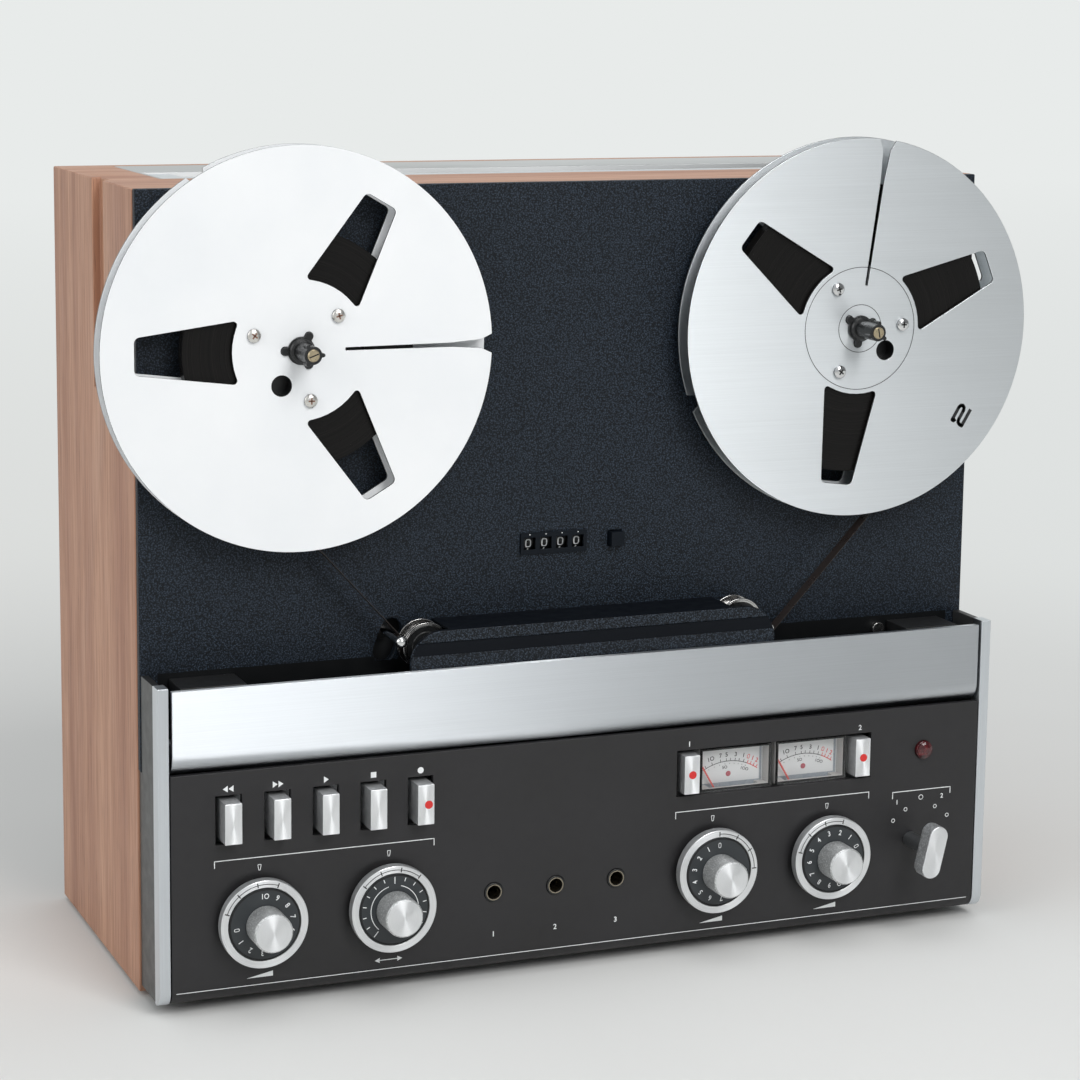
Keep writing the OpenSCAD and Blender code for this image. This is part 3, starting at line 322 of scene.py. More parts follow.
def knurled(name, low, high, size):
    """Matt metal covered with fine raised dots, darker between them: painted shade in the hollows."""
    look = Look(name, high, 0.55, 1.0)
    dots = look.cells(size, 0.3)
    # The hollows between the dots take the low colour as painted shade; the dots keep the high colour.
    look.tint(look.mix(look.spread(dots, 0, 1, 0.1, 0.55), high, low))
    look.sheen(1.5, 0.5, 0.6)
    look.bump(look.spread(dots, 1, 0, 0, 0.6), 0.2, 0.7)
    return look


def bare_metal(name, colour, roughness):
    """Plain machined metal with faint handling marks."""
    look = Look(name, colour, roughness, 1.0)
    look.drift(3, dimmed(colour, 0.85), colour, 5)
    look.sheen(1.2, roughness - 0.05, roughness + 0.08, 4)
    look.bump(look.noise(0.3, (1, 0.1, 1), detail=2), 0.006, 0.3)
    return look


def polished(name, colour, roughness):
    """Polished metal with a soft drift in its gloss."""
    look = Look(name, colour, roughness, 1.0)
    look.drift(3, dimmed(colour, 0.9), colour, 5)
    look.sheen(1.2, roughness - 0.03, roughness + 0.05, 4)
    return look


def wound_tape(name, reel_node):
    """Edges of many tape turns: fine rings round the reel's axis."""
    look = Look(name, srgb(20, 19, 19), 0.3, 0.0, Specular_IOR_Level=0.16)
    x, z = middle(reel_node)
    rings = look.rings(spot(x, 0, z), 0.55)
    broad = look.rings(spot(x, 0, z), 4)
    look.tint(look.mix(look.spread(rings, 0, 1), srgb(5, 5, 5), srgb(26, 24, 23)))
    look.gloss(look.spread(broad, 0.16, 0.4))
    look.bump(rings, 0.05, 0.6)
    return look


def reel_paint():
    """Near white satin enamel of the left reel."""
    look = Look("white_reel_enamel", srgb(238, 239, 241), 0.4, 0.0)
    look.drift(60, srgb(234, 236, 238), srgb(241, 242, 243))
    look.sheen(3, 0.34, 0.44, 4)
    look.bump(look.noise(0.8, detail=3), 0.01, 0.3)
    return look


def clear_glass():
    """Meter glass that lets light through to the dial behind it."""
    look = Look("meter_glass_clear", (1, 1, 1, 1), 0.03, 0.0, IOR=1.45, Transmission_Weight=1.0)
    look.sheen(8, 0.02, 0.06, 4)
    through = look.node("BsdfTransparent")
    look.surface(look.rays("Shadow", "Diffuse"), look.shader.outputs["BSDF"], through.outputs["BSDF"])
    return look


def lamp_red():
    """Deep red faceted lens."""
    look = Look("lamp_red_lens", srgb(96, 10, 16), 0.16, 0.0, Coat_Weight=0.6, Coat_Roughness=0.1)
    look.drift(2.2, srgb(36, 2, 6), srgb(88, 9, 16), 3)
    look.sheen(1, 0.1, 0.22)
    look.bump(look.cells(1.4), 0.12, 0.5)
    return look


WALNUT = walnut()
DECK = grained_black("deck_leather_grain", srgb(12, 17, 23), srgb(57, 69, 83))
COVER = grained_black("cover_grain", srgb(13, 17, 22), srgb(63, 73, 85))
# Smooth dark satin for the head cover's top, also painted across the open slot in its face as the slot's
# shade.
COVER_SATIN_AND_SLOT_SHADE = satin_coat("cover_satin_and_slot_shade", srgb(9, 13, 19), srgb(12, 16, 22), 0.4, 0.12)
BAY_BLACK = satin_coat("bay_strip_black", srgb(7, 9, 11), srgb(10, 12, 14), 0.5, 0.2)
COUNTER = satin_coat("counter_blue_black", srgb(11, 17, 24), srgb(14, 20, 27), 0.45, 0.15)
PANEL = satin_coat("panel_anthracite", srgb(30, 29, 30), srgb(34, 33, 35), 0.5)
HOUSING = satin_coat("housing_black", srgb(24, 25, 26), srgb(30, 31, 32), 0.46)
# Lighter grey on the black housing's outer sides: painted light.
HOUSING_SIDE_PAINTED_LIGHT = satin_coat("housing_side_painted_light", srgb(56, 57, 57), srgb(64, 65, 64), 0.4)
BLACK = moulded("black_plastic_moulded", srgb(16, 17, 18), srgb(23, 24, 25), 0.36)
RUBBER = moulded("rubber_black", srgb(26, 26, 26), srgb(36, 36, 35), 0.7)
REAR = satin_coat("rear_cover_paint", srgb(40, 41, 43), srgb(47, 48, 50), 0.55)
FLAP = brushed("flap_brushed", (0.72, 0.75, 0.78, 1), 0.42, "X", 0.97)
RAIL = brushed("rail_brushed", (0.70, 0.73, 0.76, 1), 0.42, "Z", 0.5)
TRAY = brushed("tray_brushed", (0.56, 0.57, 0.57, 1), 0.6, "X", 0.3)
REEL_GREY = brushed("reel_brushed", (0.76, 0.79, 0.81, 1), 0.42, "X", 0.9, 0.03)
REEL_WHITE = reel_paint()
KEY = spun("key_faced_aluminium", (0.96, 0.97, 0.98, 1), 0.5, 0.72)
SPUN = spun("knob_spun_face", (0.90, 0.91, 0.92, 1), 0.46, 0.75)
KNOB_SIDE = knurled("power_knob_knurl", (0.5, 0.51, 0.52, 1), (0.8, 0.81, 0.82, 1), 0.8)
POWER_FACE = spun("power_knob_face", (0.88, 0.89, 0.90, 1), 0.5, 0.5)
RING = spun("ring_satin_aluminium", (0.90, 0.91, 0.92, 1), 0.4, 0.7)
KNURL = knurled("knurled_aluminium", (0.54, 0.55, 0.55, 1), (0.86, 0.87, 0.87, 1), 0.75)
KEY_SIDE = bare_metal("key_etched_side", (0.74, 0.75, 0.76, 1), 0.55)
# Dark grey painted on the reel flanges' edges and on the power knob's neck as painted shade.
SHADE_GREY_METAL = bare_metal("painted_shade_grey_metal", (0.30, 0.31, 0.32, 1), 0.42)
# Blue-grey strips along the bottom and right edge of each meter dial: painted shade of the step round the
# dial.
METER_STEP_SHADE = satin_coat("meter_step_painted_shade", srgb(140, 147, 154), srgb(150, 157, 164), 0.25)
# Greyer copy of the pale meter case for its side walls: painted shade.
METER_WALL_SHADE = satin_coat("meter_wall_painted_shade", srgb(168, 166, 164), srgb(176, 174, 172), 0.5)
ROLLER = polished("roller_steel", (0.56, 0.55, 0.54, 1), 0.18)
CHROME = bare_metal("polished_steel", (0.78, 0.78, 0.78, 1), 0.1)
STEEL = bare_metal("plated_steel", (0.62, 0.63, 0.64, 1), 0.32)
HEAD = bare_metal("head_metal", (0.70, 0.69, 0.67, 1), 0.2)
BRASS = bare_metal("old_brass", (0.55, 0.46, 0.31, 1), 0.3)
JACK_METAL = bare_metal("jack_sleeve_dull", (0.34, 0.30, 0.23, 1), 0.3)
CHASSIS = satin_coat("chassis_dark_plating", srgb(30, 32, 34), srgb(40, 42, 44), 0.45)
MOTOR = satin_coat("motor_paint", srgb(112, 114, 117), srgb(124, 126, 128), 0.45)
BOARD = satin_coat("board_green", srgb(30, 74, 48), srgb(38, 86, 56), 0.4)
DIAL = satin_coat("dial_dark_grey", srgb(40, 44, 47), srgb(45, 49, 52), 0.42)
SPINDLE = moulded("spindle_black", srgb(20, 21, 22), srgb(30, 31, 32), 0.3)
METER_FACE = satin_coat("meter_face_pale", srgb(204, 205, 205), srgb(211, 212, 212), 0.5)
METER_DOT = satin_coat("meter_dot_dull_red", srgb(160, 66, 78), srgb(168, 74, 86), 0.5)
NEEDLE = satin_coat("needle_red", srgb(206, 70, 64), srgb(214, 80, 72), 0.4)
TAPE = satin_coat("tape_back", srgb(40, 34, 32), srgb(48, 41, 38), 0.3)
WHITE_INK = satin_coat("white_ink", srgb(226, 228, 228), srgb(234, 236, 236), 0.6)
BLACK_INK = satin_coat("black_ink", srgb(22, 22, 24), srgb(28, 28, 30), 0.55)
RED_INK = satin_coat("red_ink", srgb(206, 40, 38), srgb(214, 48, 44), 0.5)
# Near black printed in screw crosses and slots and round the knob dials' edges: painted shade of those
# recesses and gaps.
PAINTED_SHADE = satin_coat("painted_shade_black", srgb(10, 10, 11), srgb(16, 15, 15), 0.7)
GLASS = clear_glass()
LAMP = lamp_red()


# Making pieces

KNURL_DEPTH = 0.25
GLYPHS = {}


def added(name, data):
    """New object in the scene, for a mesh, curve, light or camera."""
    made = bpy.data.objects.new(name, data)
    bpy.context.scene.collection.objects.link(made)
    return made


def piece(name, shape, body, look, crease=32.0):
    """Turns a bmesh into a named piece that rides on a body."""
    mesh = bpy.data.meshes.new(name)
    shape.to_mesh(mesh)
    shape.free()
    return dressed(name, mesh, body, look, crease)


def dressed(name, mesh, body, look, crease=32.0):
    """Makes an object of a mesh with one finish, smooth but for edges sharper than crease."""
    mesh.materials.clear()
    mesh.materials.append(look.material)
    mesh.polygons.foreach_set("material_index", [0] * len(mesh.polygons))
    mesh.polygons.foreach_set("use_smooth", [True] * len(mesh.polygons))
    mesh.set_sharp_from_angle(angle=math.radians(crease))
    made = added(name, mesh)
    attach(made, body)
    return made


def paint(look, *nodes):
    """Puts a finish on CAD nodes that stay as they are."""
    for node in nodes:
        materials = frame["nodes"][node].data.materials
        materials.clear()
        materials.append(look.material)


def soften(node, look, width=0.4, also=()):
    """Stands for a CAD node with its edges rounded by width; also lists (finish, test) pairs, where a
    test says from a face's middle in millimetres and its normal whether that finish is on it."""
    mesh = frame["nodes"][node].data.copy()
    shape = bmesh.new()
    shape.from_mesh(mesh)
    bmesh.ops.remove_doubles(shape, verts=shape.verts, dist=0.003 * MM)
    bmesh.ops.dissolve_limit(shape, angle_limit=math.radians(0.4), verts=shape.verts, edges=shape.edges)
    shape.to_mesh(mesh)
    shape.free()
    made = dressed(node + "_dressed", mesh, BODY_OF[node], look)
    for index, (finish, test) in enumerate(also, 1):
        mesh.materials.append(finish.material)
        for face in mesh.polygons:
            place = (face.center - Vector((0, WOOD_FRONT_M, 0))) / MM
            if test(place, face.normal):
                face.material_index = index
    edge = made.modifiers.new("edges", "BEVEL")
    edge.width = width * MM
    edge.segments = 2
    edge.limit_method = "ANGLE"
    edge.angle_limit = math.radians(35)
    edge.use_clamp_overlap = False
    edge.harden_normals = True
    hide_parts(node)
    return made


def turned(name, profile, centre, body, look, steps=72, knurl=(), crease=32.0):
    """A piece turned about an axis along the depth, from (radius, depth) points; knurl lists the points
    whose ring goes in and out by KNURL_DEPTH."""
    shape = bmesh.new()
    rows = []
    for index, (radius, depth) in enumerate(profile):
        if radius == 0:
            rows.append([shape.verts.new(spot(centre[0], depth, centre[1]))] * steps)
            continue
        row = []
        for step in range(steps):
            inner = KNURL_DEPTH if index in knurl and (step + index) % 2 else 0
            x, z = polar(centre, radius - inner, 360 * step / steps)
            row.append(shape.verts.new(spot(x, depth, z)))
        rows.append(row)
    for first, second in zip(rows, rows[1:]):
        for step in range(steps):
            after = (step + 1) % steps
            corners = [first[step], first[after], second[after], second[step]]
            distinct = list(dict.fromkeys(corners))
            if len(distinct) > 2:
                shape.faces.new(distinct)
    bmesh.ops.recalc_face_normals(shape, faces=shape.faces)
    return piece(name, shape, body, look, crease)


def is_side(place, normal):
    """Whether a face is an edge of a plate or cap that looks forward."""
    return abs(normal.y) < 0.5


def zero_shape(half_wide=0.34, stroke=0.13, steps=40):
    """A plain nought of unit height with flattened sides, as points and faces."""
    points = []
    for half_x, half_y in ((half_wide, 0.5), (half_wide - stroke, 0.5 - stroke)):
        for step in range(steps):
            angle = 2 * math.pi * step / steps
            x = math.copysign(abs(math.cos(angle)) ** 0.6, math.cos(angle))
            y = math.copysign(abs(math.sin(angle)) ** 0.6, math.sin(angle))
            points.append((half_x * x, half_y * y))
    faces = []
    for step in range(steps):
        after = (step + 1) % steps
        faces.append((step, after, steps + after, steps + step))
    return points, faces


def glyphs(words):
    """Outline of some figures as a flat mesh of unit capital height, centred."""
    if words == "0":
        GLYPHS[words] = zero_shape()
    if words not in GLYPHS:
        curve = bpy.data.curves.new("figures", "FONT")
        curve.body = words.replace("0", "O")
        curve.align_x = "CENTER"
        curve.size = 1
        curve.offset = 0.018
        holder = added("figures", curve)
        bpy.context.view_layer.update()
        settled = holder.evaluated_get(bpy.context.evaluated_depsgraph_get())
        mesh = bpy.data.meshes.new_from_object(settled)
        bpy.data.objects.remove(holder)
        lows = min(vertex.co.y for vertex in mesh.vertices)
        highs = max(vertex.co.y for vertex in mesh.vertices)
        scale = 1 / (highs - lows)
        points = [(v.co.x * scale, (v.co.y - (lows + highs) / 2) * scale) for v in mesh.vertices]
        GLYPHS[words] = points, [tuple(face.vertices) for face in mesh.polygons]
        bpy.data.meshes.remove(mesh)
    return GLYPHS[words]


class Print:
    """Flat printing on a face that looks forward, a hair proud of it. Points are (x, z)."""

    def __init__(self, depth):
        self.shape = bmesh.new()
        self.depth = depth - PROUD

    def poly(self, points):
        self.shape.faces.new([self.shape.verts.new(spot(x, self.depth, z)) for x, z in points])

    def box(self, left, right, low, high):
        self.poly([(left, low), (right, low), (right, high), (left, high)])

    def bar(self, start, stop, width):
        along = Vector(stop) - Vector(start)
        side = Vector((-along.y, along.x)).normalized() * width / 2
        corners = (Vector(start) - side, Vector(stop) - side, Vector(stop) + side, Vector(start) + side)
        self.poly([tuple(corner) for corner in corners])

    def line(self, points, width):
        for start, stop in zip(points, points[1:]):
            self.bar(start, stop, width)

    def outline(self, points, width):
        self.line(list(points) + [points[0]], width)

    def arc(self, centre, radius, width, start, stop, steps=24):
        inner = radius - width / 2
        outer = radius + width / 2
        for step in range(steps):
            first = start + (stop - start) * step / steps
            last = start + (stop - start) * (step + 1) / steps
            self.poly([polar(centre, inner, first), polar(centre, outer, first),
                       polar(centre, outer, last), polar(centre, inner, last)])

    def ring(self, centre, radius, width, steps=48):
        self.arc(centre, radius, width, 0, 360, steps)

    def disc(self, centre, radius, steps=28):
        self.poly([polar(centre, radius, 360 * step / steps) for step in range(steps)])

    def figures(self, words, centre, height, turn=0.0, wide=1.0):
        points, faces = glyphs(words)
        made = []
        for across, up in points:
            x, z = leaning(centre, turn, across * height * wide, up * height)
            made.append(self.shape.verts.new(spot(x, self.depth, z)))
        for face in faces:
            self.shape.faces.new([made[index] for index in face])

    def done(self, name, body, look):
        for face in self.shape.faces:
            face.normal_update()
        turned_away = [face for face in self.shape.faces if face.normal.y > 0]
        bmesh.ops.reverse_faces(self.shape, faces=turned_away)
        return piece(name, self.shape, body, look)


# Case, deck and rear

soften("wood_case", WALNUT, 0.7)
soften("deck_plate", DECK, 0.5)
soften("handle_tray", TRAY, 0.3)
soften("carry_handle", RAIL, 0.6)
soften("case_feet", RUBBER, 0.5)
soften("rear_cover", REAR, 0.4)
soften("rear_sockets", CHROME, 0.2)
paint(CHASSIS, "chassis_frame")
paint(STEEL, "control_bracket")
paint(MOTOR, "motors")
paint(BOARD, "electronics")

CROSS_WIDE = 0.231
CROSS_REACH = 0.5
DOME = 0.42
REAR_SCREW_INSET = 7
REAR_SCREW_RADIUS = 3.2


def pan_screw(name, centre, depth, radius, body, look, recess_shade, facing=-1, turn=20.0):
    """Domed screw head standing on a face at depth, with its cross recess printed flat in painted shade."""
    height = radius * DOME
    profile = [(radius, depth), (radius, depth + facing * height * 0.35),
               (radius * 0.8, depth + facing * height * 0.8), (radius * 0.45, depth + facing * height),
               (0, depth + facing * height * 1.02)]
    turned(name, profile, centre, body, look, 28)
    mark = Print(depth + facing * height * 1.02)
    for quarter in (0, 90):
        start = polar(centre, radius * CROSS_REACH, turn + quarter)
        stop = polar(centre, radius * CROSS_REACH, turn + quarter + 180)
        mark.bar(start, stop, radius * CROSS_WIDE)
    made = mark.done(name + "_cross", body, recess_shade)
    if facing > 0:
        for vertex in made.data.vertices:
            vertex.co.y += 2 * PROUD * MM
        made.data.flip_normals()


def rear_screws():
    """Six screws that hold the rear cover."""
    low, high = limits("rear_cover")
    inset = REAR_SCREW_INSET
    for row, z in enumerate((low.z + inset, high.z - inset)):
        for column, x in enumerate((low.x + inset, (low.x + high.x) / 2, high.x - inset)):
            turn = 15 + 31 * column + 47 * row
            pan_screw(f"rear_screw_{row}{column}", (x, z), high.y, REAR_SCREW_RADIUS, "recorder", STEEL,
                      PAINTED_SHADE, 1, turn)


# Reels, spindles and tape

LEFT_TURN = 0
RIGHT_TURN = 82
REEL_SCREW_AT = 22.5
REEL_SCREW_ANGLE = 41
REEL_SCREW_RADIUS = 2.95
REEL_SCREW_SEAT = 0.8
REEL_HOLE_AT = 17.5
REEL_HOLE_ANGLE = 240
HUB_RINGS = ((28.8, 96), (11.2, 64))


def reel(side, turn, look, screw_look, recess_shade):
    """Flanges, pack, screws and the end of the spindle of one reel."""
    body = side + "_reel"
    centre = middle(side + "_reel_front")
    # The flanges' edges are painted dark grey as painted shade.
    soften(side + "_reel_front", look, 0.2, [(SHADE_GREY_METAL, is_side)])
    soften(side + "_reel_back", look, 0.2, [(SHADE_GREY_METAL, is_side)])
    soften(side + "_tape_pack", wound_tape(side + "_pack_rings", side + "_tape_pack"), 0.2)
    soften(side + "_spindle", SPINDLE, 0.3)
    face = front(side + "_reel_front")
    for k in range(3):
        at = polar(centre, REEL_SCREW_AT, turn + REEL_SCREW_ANGLE + 120 * k)
        pan_screw(f"{side}_reel_screw_{k}", at, face - REEL_SCREW_SEAT, REEL_SCREW_RADIUS, body,
                  screw_look, recess_shade, -1, 15 + 37 * k)
    tip = front(side + "_spindle")
    screw = [(2.7, tip + 0.1), (2.7, tip - 0.35), (2.3, tip - 0.7), (0, tip - 0.75)]
    turned(side + "_spindle_screw", screw, centre, body, BRASS, 32)
    # The screw's slot is printed flat in painted shade.
    slot_mark = Print(tip - 0.75)
    slot_mark.bar(polar(centre, 2.2, 20 + turn), polar(centre, 2.2, 200 + turn), 0.55)
    slot_mark.done(side + "_spindle_slot", body, PAINTED_SHADE)
    # A black cup in the reel's hole stands for the shade inside the hole: painted shade.
    hole = polar(centre, REEL_HOLE_AT, turn + REEL_HOLE_ANGLE)
    shade_cup = [(4.6, face + 0.25), (4.6, face + 7.5), (0, face + 7.5)]
    turned(side + "_reel_hole_painted_shade", shade_cup, hole, body, BLACK, 36)
    nut = [(5.6, face - 1.3), (5.6, face - 2.2), (5.0, face - 2.9), (4.05, face - 3.1)]
    turned(side + "_spindle_collar", nut, centre, body, SPINDLE, 48)
    return centre, face


NUMERAL_AT = (193.15, 247.4)
NUMERAL_TURN = 59
NUMERAL_STROKE = 1.75
NUMERAL_BENDS = (
    (-3.1, 1.6), (-4.3, 2.2), (-4.3, 3.1), (2.6, 3.1), (3.8, 2.6), (4.3, 1.6), (3.7, 0.5), (2.4, 0),
    (-2.6, 0), (-3.8, -0.5), (-4.3, -1.6), (-4.3, -3.1), (4.7, -3.1))


def right_reel_print(centre, face):
    """Two thin rings round the hub and a plain figure 2 drawn as one rounded stroke."""
    mark = Print(face)
    for radius, steps in HUB_RINGS:
        mark.ring(centre, radius, 0.3, steps)
    points = [leaning(NUMERAL_AT, NUMERAL_TURN, *bend) for bend in NUMERAL_BENDS]
    mark.line(points, NUMERAL_STROKE)
    for point in points[1:-1]:
        mark.disc(point, NUMERAL_STROKE / 2, 16)
    mark.done("right_reel_print", "right_reel", BLACK_INK)


PALE_SCREW = bare_metal("reel_screw_pale", (0.8, 0.78, 0.74, 1), 0.3)
# Brown printed in the left reel screws' crosses: painted shade of the recess.
BROWN_RECESS_SHADE = satin_coat("screw_recess_painted_shade", srgb(120, 84, 66), srgb(130, 92, 74), 0.6)
reel("left", LEFT_TURN, REEL_WHITE, PALE_SCREW, BROWN_RECESS_SHADE)
right_reel_print(*reel("right", RIGHT_TURN, REEL_GREY, CHROME, PAINTED_SHADE))
soften("tape", TAPE, 0.02)


# Counter

WHEEL_RADIUS = 7.2
WHEEL_STEP = 8.0
FIGURE_TURN = 36
FIGURE_HEIGHT = 3.9
FIGURE_WIDE = 1.1
FIGURE_SHIFT = 0.9
FIGURE_DROP = 0.55
FIGURE_CUT = 0.55
WINDOW_DOT_UP = 4.25


def flat_figure(figure):
    """One figure as a flat bmesh that looks along +Z, cut across so that it can bend round a wheel."""
    points, faces = glyphs(str(figure))
    flat = bmesh.new()
    verts = []
    for across, up in points:
        x = across * FIGURE_HEIGHT * FIGURE_WIDE + FIGURE_SHIFT
        verts.append(flat.verts.new((x, up * FIGURE_HEIGHT - FIGURE_DROP, 0)))
    for face in faces:
        flat.faces.new([verts[index] for index in face])
    for row in range(-3, 4):
        everything = flat.verts[:] + flat.edges[:] + flat.faces[:]
        height = row * FIGURE_CUT
        bmesh.ops.bisect_plane(flat, geom=everything, plane_co=(0, height, 0), plane_no=(0, 1, 0))
    flat.normal_update()
    bmesh.ops.reverse_faces(flat, faces=[face for face in flat.faces if face.normal.z < 0])
    return flat


def counter_figures(node, xs):
    """White figures 0 to 9 wrapped round the number wheels, with 0 in the window at rest."""
    low, high = limits(node)
    axis = (low + high) / 2
    radius = WHEEL_RADIUS + PROUD
    shape = bmesh.new()
    for x in xs:
        for figure in range(10):
            flat = flat_figure(figure)
            made = {}
            for vertex in flat.verts:
                angle = vertex.co.y / radius - math.radians(FIGURE_TURN * figure)
                depth = axis.y - radius * math.cos(angle)
                z = axis.z + radius * math.sin(angle)
                made[vertex] = shape.verts.new(spot(x + vertex.co.x, depth, z))
            for face in flat.faces:
                shape.faces.new([made[vertex] for vertex in face.verts])
            flat.free()
    piece(node + "_figures", shape, BODY_OF[node], WHITE_INK, 60)


def counter():
    """Bezel, reset button and number wheels, with a dot over each window."""
    soften("counter_frame", COUNTER, 0.2)
    soften("counter_reset", COUNTER, 0.2)
    for node in ("counter_units", "counter_decades"):
        soften(node, BLACK, 0.2)
    units = middle("counter_units")[0]
    counter_figures("counter_units", [units])
    decades = [units - WHEEL_STEP * k for k in (3, 2, 1)]
    counter_figures("counter_decades", decades)
    dots = Print(front("counter_frame"))
    for x in decades + [units]:
        dots.disc((x, middle("counter_frame")[1] + WINDOW_DOT_UP), 0.26, 12)
    dots.done("counter_dots", "recorder", WHITE_INK)


counter()


# Tape path and front unit

TENSION_PIN_FROM = -4
HOUSING_END = 198

soften("head_cover", COVER, 0.5, [(COVER_SATIN_AND_SLOT_SHADE, lambda place, normal: normal.z > 0.5)])
soften("head_block", HEAD, 0.2)
soften("capstan", CHROME, 0.15)
soften("pinch_arm", STEEL, 0.3)
soften("pinch_roller", RUBBER, 0.4)
soften("tension_arm", BLACK, 0.2, [(CHROME, lambda place, normal: place.y < TENSION_PIN_FROM)])
soften("flap", FLAP, 0.3)
# The housing's outer sides are painted a lighter grey as painted light.
soften("front_housing", HOUSING, 0.4, [
    (HOUSING_SIDE_PAINTED_LIGHT, lambda place, normal: abs(normal.x) > 0.5 and abs(place.x) > HOUSING_END)])
soften("control_panel", PANEL, 0.25)
soften("trim_rails", RAIL, 0.4)
soften("speaker_switch", BLACK, 0.4)
soften("reel_motor_switch", BLACK, 0.4)


def guide_roller(node):
    """Steel rim on the front flange of a guide roller, and a turned black cap that stands in for the dark
    reflection in the flange's steel face: painted reflection.
    """
    soften(node, ROLLER, 0.25)
    centre = middle(node)
    face = front(node)
    rim = [(10.4, face + 0.05), (10.2, face - 0.3), (9.4, face - 0.35), (9.1, face)]
    turned(node + "_rim", rim, centre, BODY_OF[node], ROLLER, 64)
    reflection_cap = [(9.1, face - 0.05), (7.0, face - 0.1), (6.6, face - 0.45), (3.4, face - 0.55), (3.0, face - 0.1),
           (1.6, face - 0.1), (1.2, face - 0.45), (0, face - 0.5)]
    turned(node + "_dark_reflection_cap", reflection_cap, centre, BODY_OF[node], SPINDLE, 64)


guide_roller("left_roller")
guide_roller("right_roller")


def cover_band():
    """Dark band painted across the open slot in the head cover's face as its shade, up to the cover's
    rounded ends.
    """
    low, high = limits("head_cover")
    corner = 15.0
    inset = 0.5
    steps = 8
    z_low = 153.0
    z_high = 158.5

    def end(z):
        rise = max(0.0, z - (high.z - corner))
        return corner - math.sqrt(corner ** 2 - rise ** 2) + inset

    mark = Print(low.y)
    for step in range(steps):
        bottom = z_low + (z_high - z_low) * step / steps
        top = z_low + (z_high - z_low) * (step + 1) / steps
        mark.poly([(low.x + end(bottom), bottom), (high.x - end(bottom), bottom),
                   (high.x - end(top), top), (low.x + end(top), top)])
    mark.done("head_cover_slot_shade", "recorder", COVER_SATIN_AND_SLOT_SHADE)


def bay_strip():
    """Smooth black strip on the deck's lower edge, open at the tension pin's slot and the pinch pivot."""
    mark = Print(front("deck_plate"))
    foot = 133.5
    head = 148.2
    for strip in ((-198, -97, foot, head), (-97, -86, foot, 146.2), (-86, 88, foot, head),
                  (88, 96, 136.8, head), (96, 198, foot, head)):
        mark.box(*strip)
    mark.done("bay_strip", "recorder", BAY_BLACK)


cover_band()
bay_strip()


# Keys, lamp and jacks

TAPE_KEYS = ("key_rewind", "key_forward", "key_play", "key_stop", "key_record")
RECORD_KEYS = ("record_key_one", "record_key_two")
JACK_XS = (-50.0, -19.6, 10.7)


def keys():
    """Faced keys with etched sides, and a red dot on the three that record."""
    for node in TAPE_KEYS + RECORD_KEYS:
        soften(node, KEY, 0.35, [(KEY_SIDE, is_side)])
    for node in ("key_record",) + RECORD_KEYS:
        x, z = middle(node)
        mark = Print(front(node))
        shift = 1.2 if node == "key_record" else 0.2
        mark.disc((x + shift, z), 1.9)
        mark.done(node + "_dot", node, RED_INK)


def lamp():
    """Lamp with a low faceted lens."""
    centre = middle("power_lamp")
    face = front("power_lamp")
    soften("power_lamp", LAMP, 0.4)
    profile = [(4.2, face + 0.1), (4.0, face - 0.5), (3.1, face - 1.1), (1.7, face - 1.5), (0, face - 1.6)]
    turned("power_lamp_facets", profile, centre, "recorder", LAMP, 12, (), 10)


def jacks():
    """Black bushes with a metal sleeve and lip in each hole."""
    soften("jacks", BLACK, 0.3)
    z = middle("jacks")[1]
    face = front("jacks")
    sleeve = [(3.15, face + 0.6), (3.15, face + 6.0), (2.9, face + 6.4), (2.9, face + 9.0)]
    lip = Print(face)
    for k, x in enumerate(JACK_XS):
        turned(f"jack_sleeve_{k}", sleeve, (x, z), "recorder", JACK_METAL, 40)
        lip.ring((x, z), 3.5, 0.45, 40)
    lip.done("jack_lips", "recorder", JACK_METAL)


keys()
lamp()
jacks()


# Knobs

KNOBS = ("volume_knob", "balance_knob", "level_knob_one", "level_knob_two")
DIAL_STARTS = {"volume_knob": -265, "level_knob_one": 0, "level_knob_two": -67}
DIAL_STEP = 26.5
DIAL_RADIUS = 16.2
DIAL_FACE = -42.0
DIAL_BACK = -39.8
GRIP_RADIUS = 8.8
GRIP_ROWS = 14
DIAL_FIGURES_AT = 12.9
DIAL_TICKS_AT = 15.2
DIAL_LINE_AT = 11.2
# Behind this depth the ring is painted black as the shade of the gap under it.
RING_SHADE_DEPTH = -38.5
RING_MARKS = (17.1, 19.3)
RING_LINE_AT = 18.2
# Behind POWER_NECK the power knob's neck is painted dark grey as shade.
POWER_NECK = -50.4


def knob_grip(node, centre):
    """Knurled grip with a spun face."""
    tip = front(node)
    length = DIAL_FACE - tip - 1.6
    side = [(GRIP_RADIUS, tip + 0.9 + length * k / GRIP_ROWS) for k in range(GRIP_ROWS + 1)]
    grip = [(GRIP_RADIUS - 0.75, tip + 0.05), (GRIP_RADIUS - 0.25, tip + 0.35)] + side
    grip += [(GRIP_RADIUS - 0.3, DIAL_FACE - 0.4), (GRIP_RADIUS - 0.3, DIAL_FACE + 0.3)]
    made = turned(node + "_grip", grip, centre, node, KNURL, 72,
                  range(3, GRIP_ROWS + 2), 12)
    face = [(GRIP_RADIUS - 0.7, tip + 0.06), (GRIP_RADIUS - 1.1, tip), (0, tip - 0.02)]
    turned(node + "_face", face, centre, node, SPUN, 84)
    return made


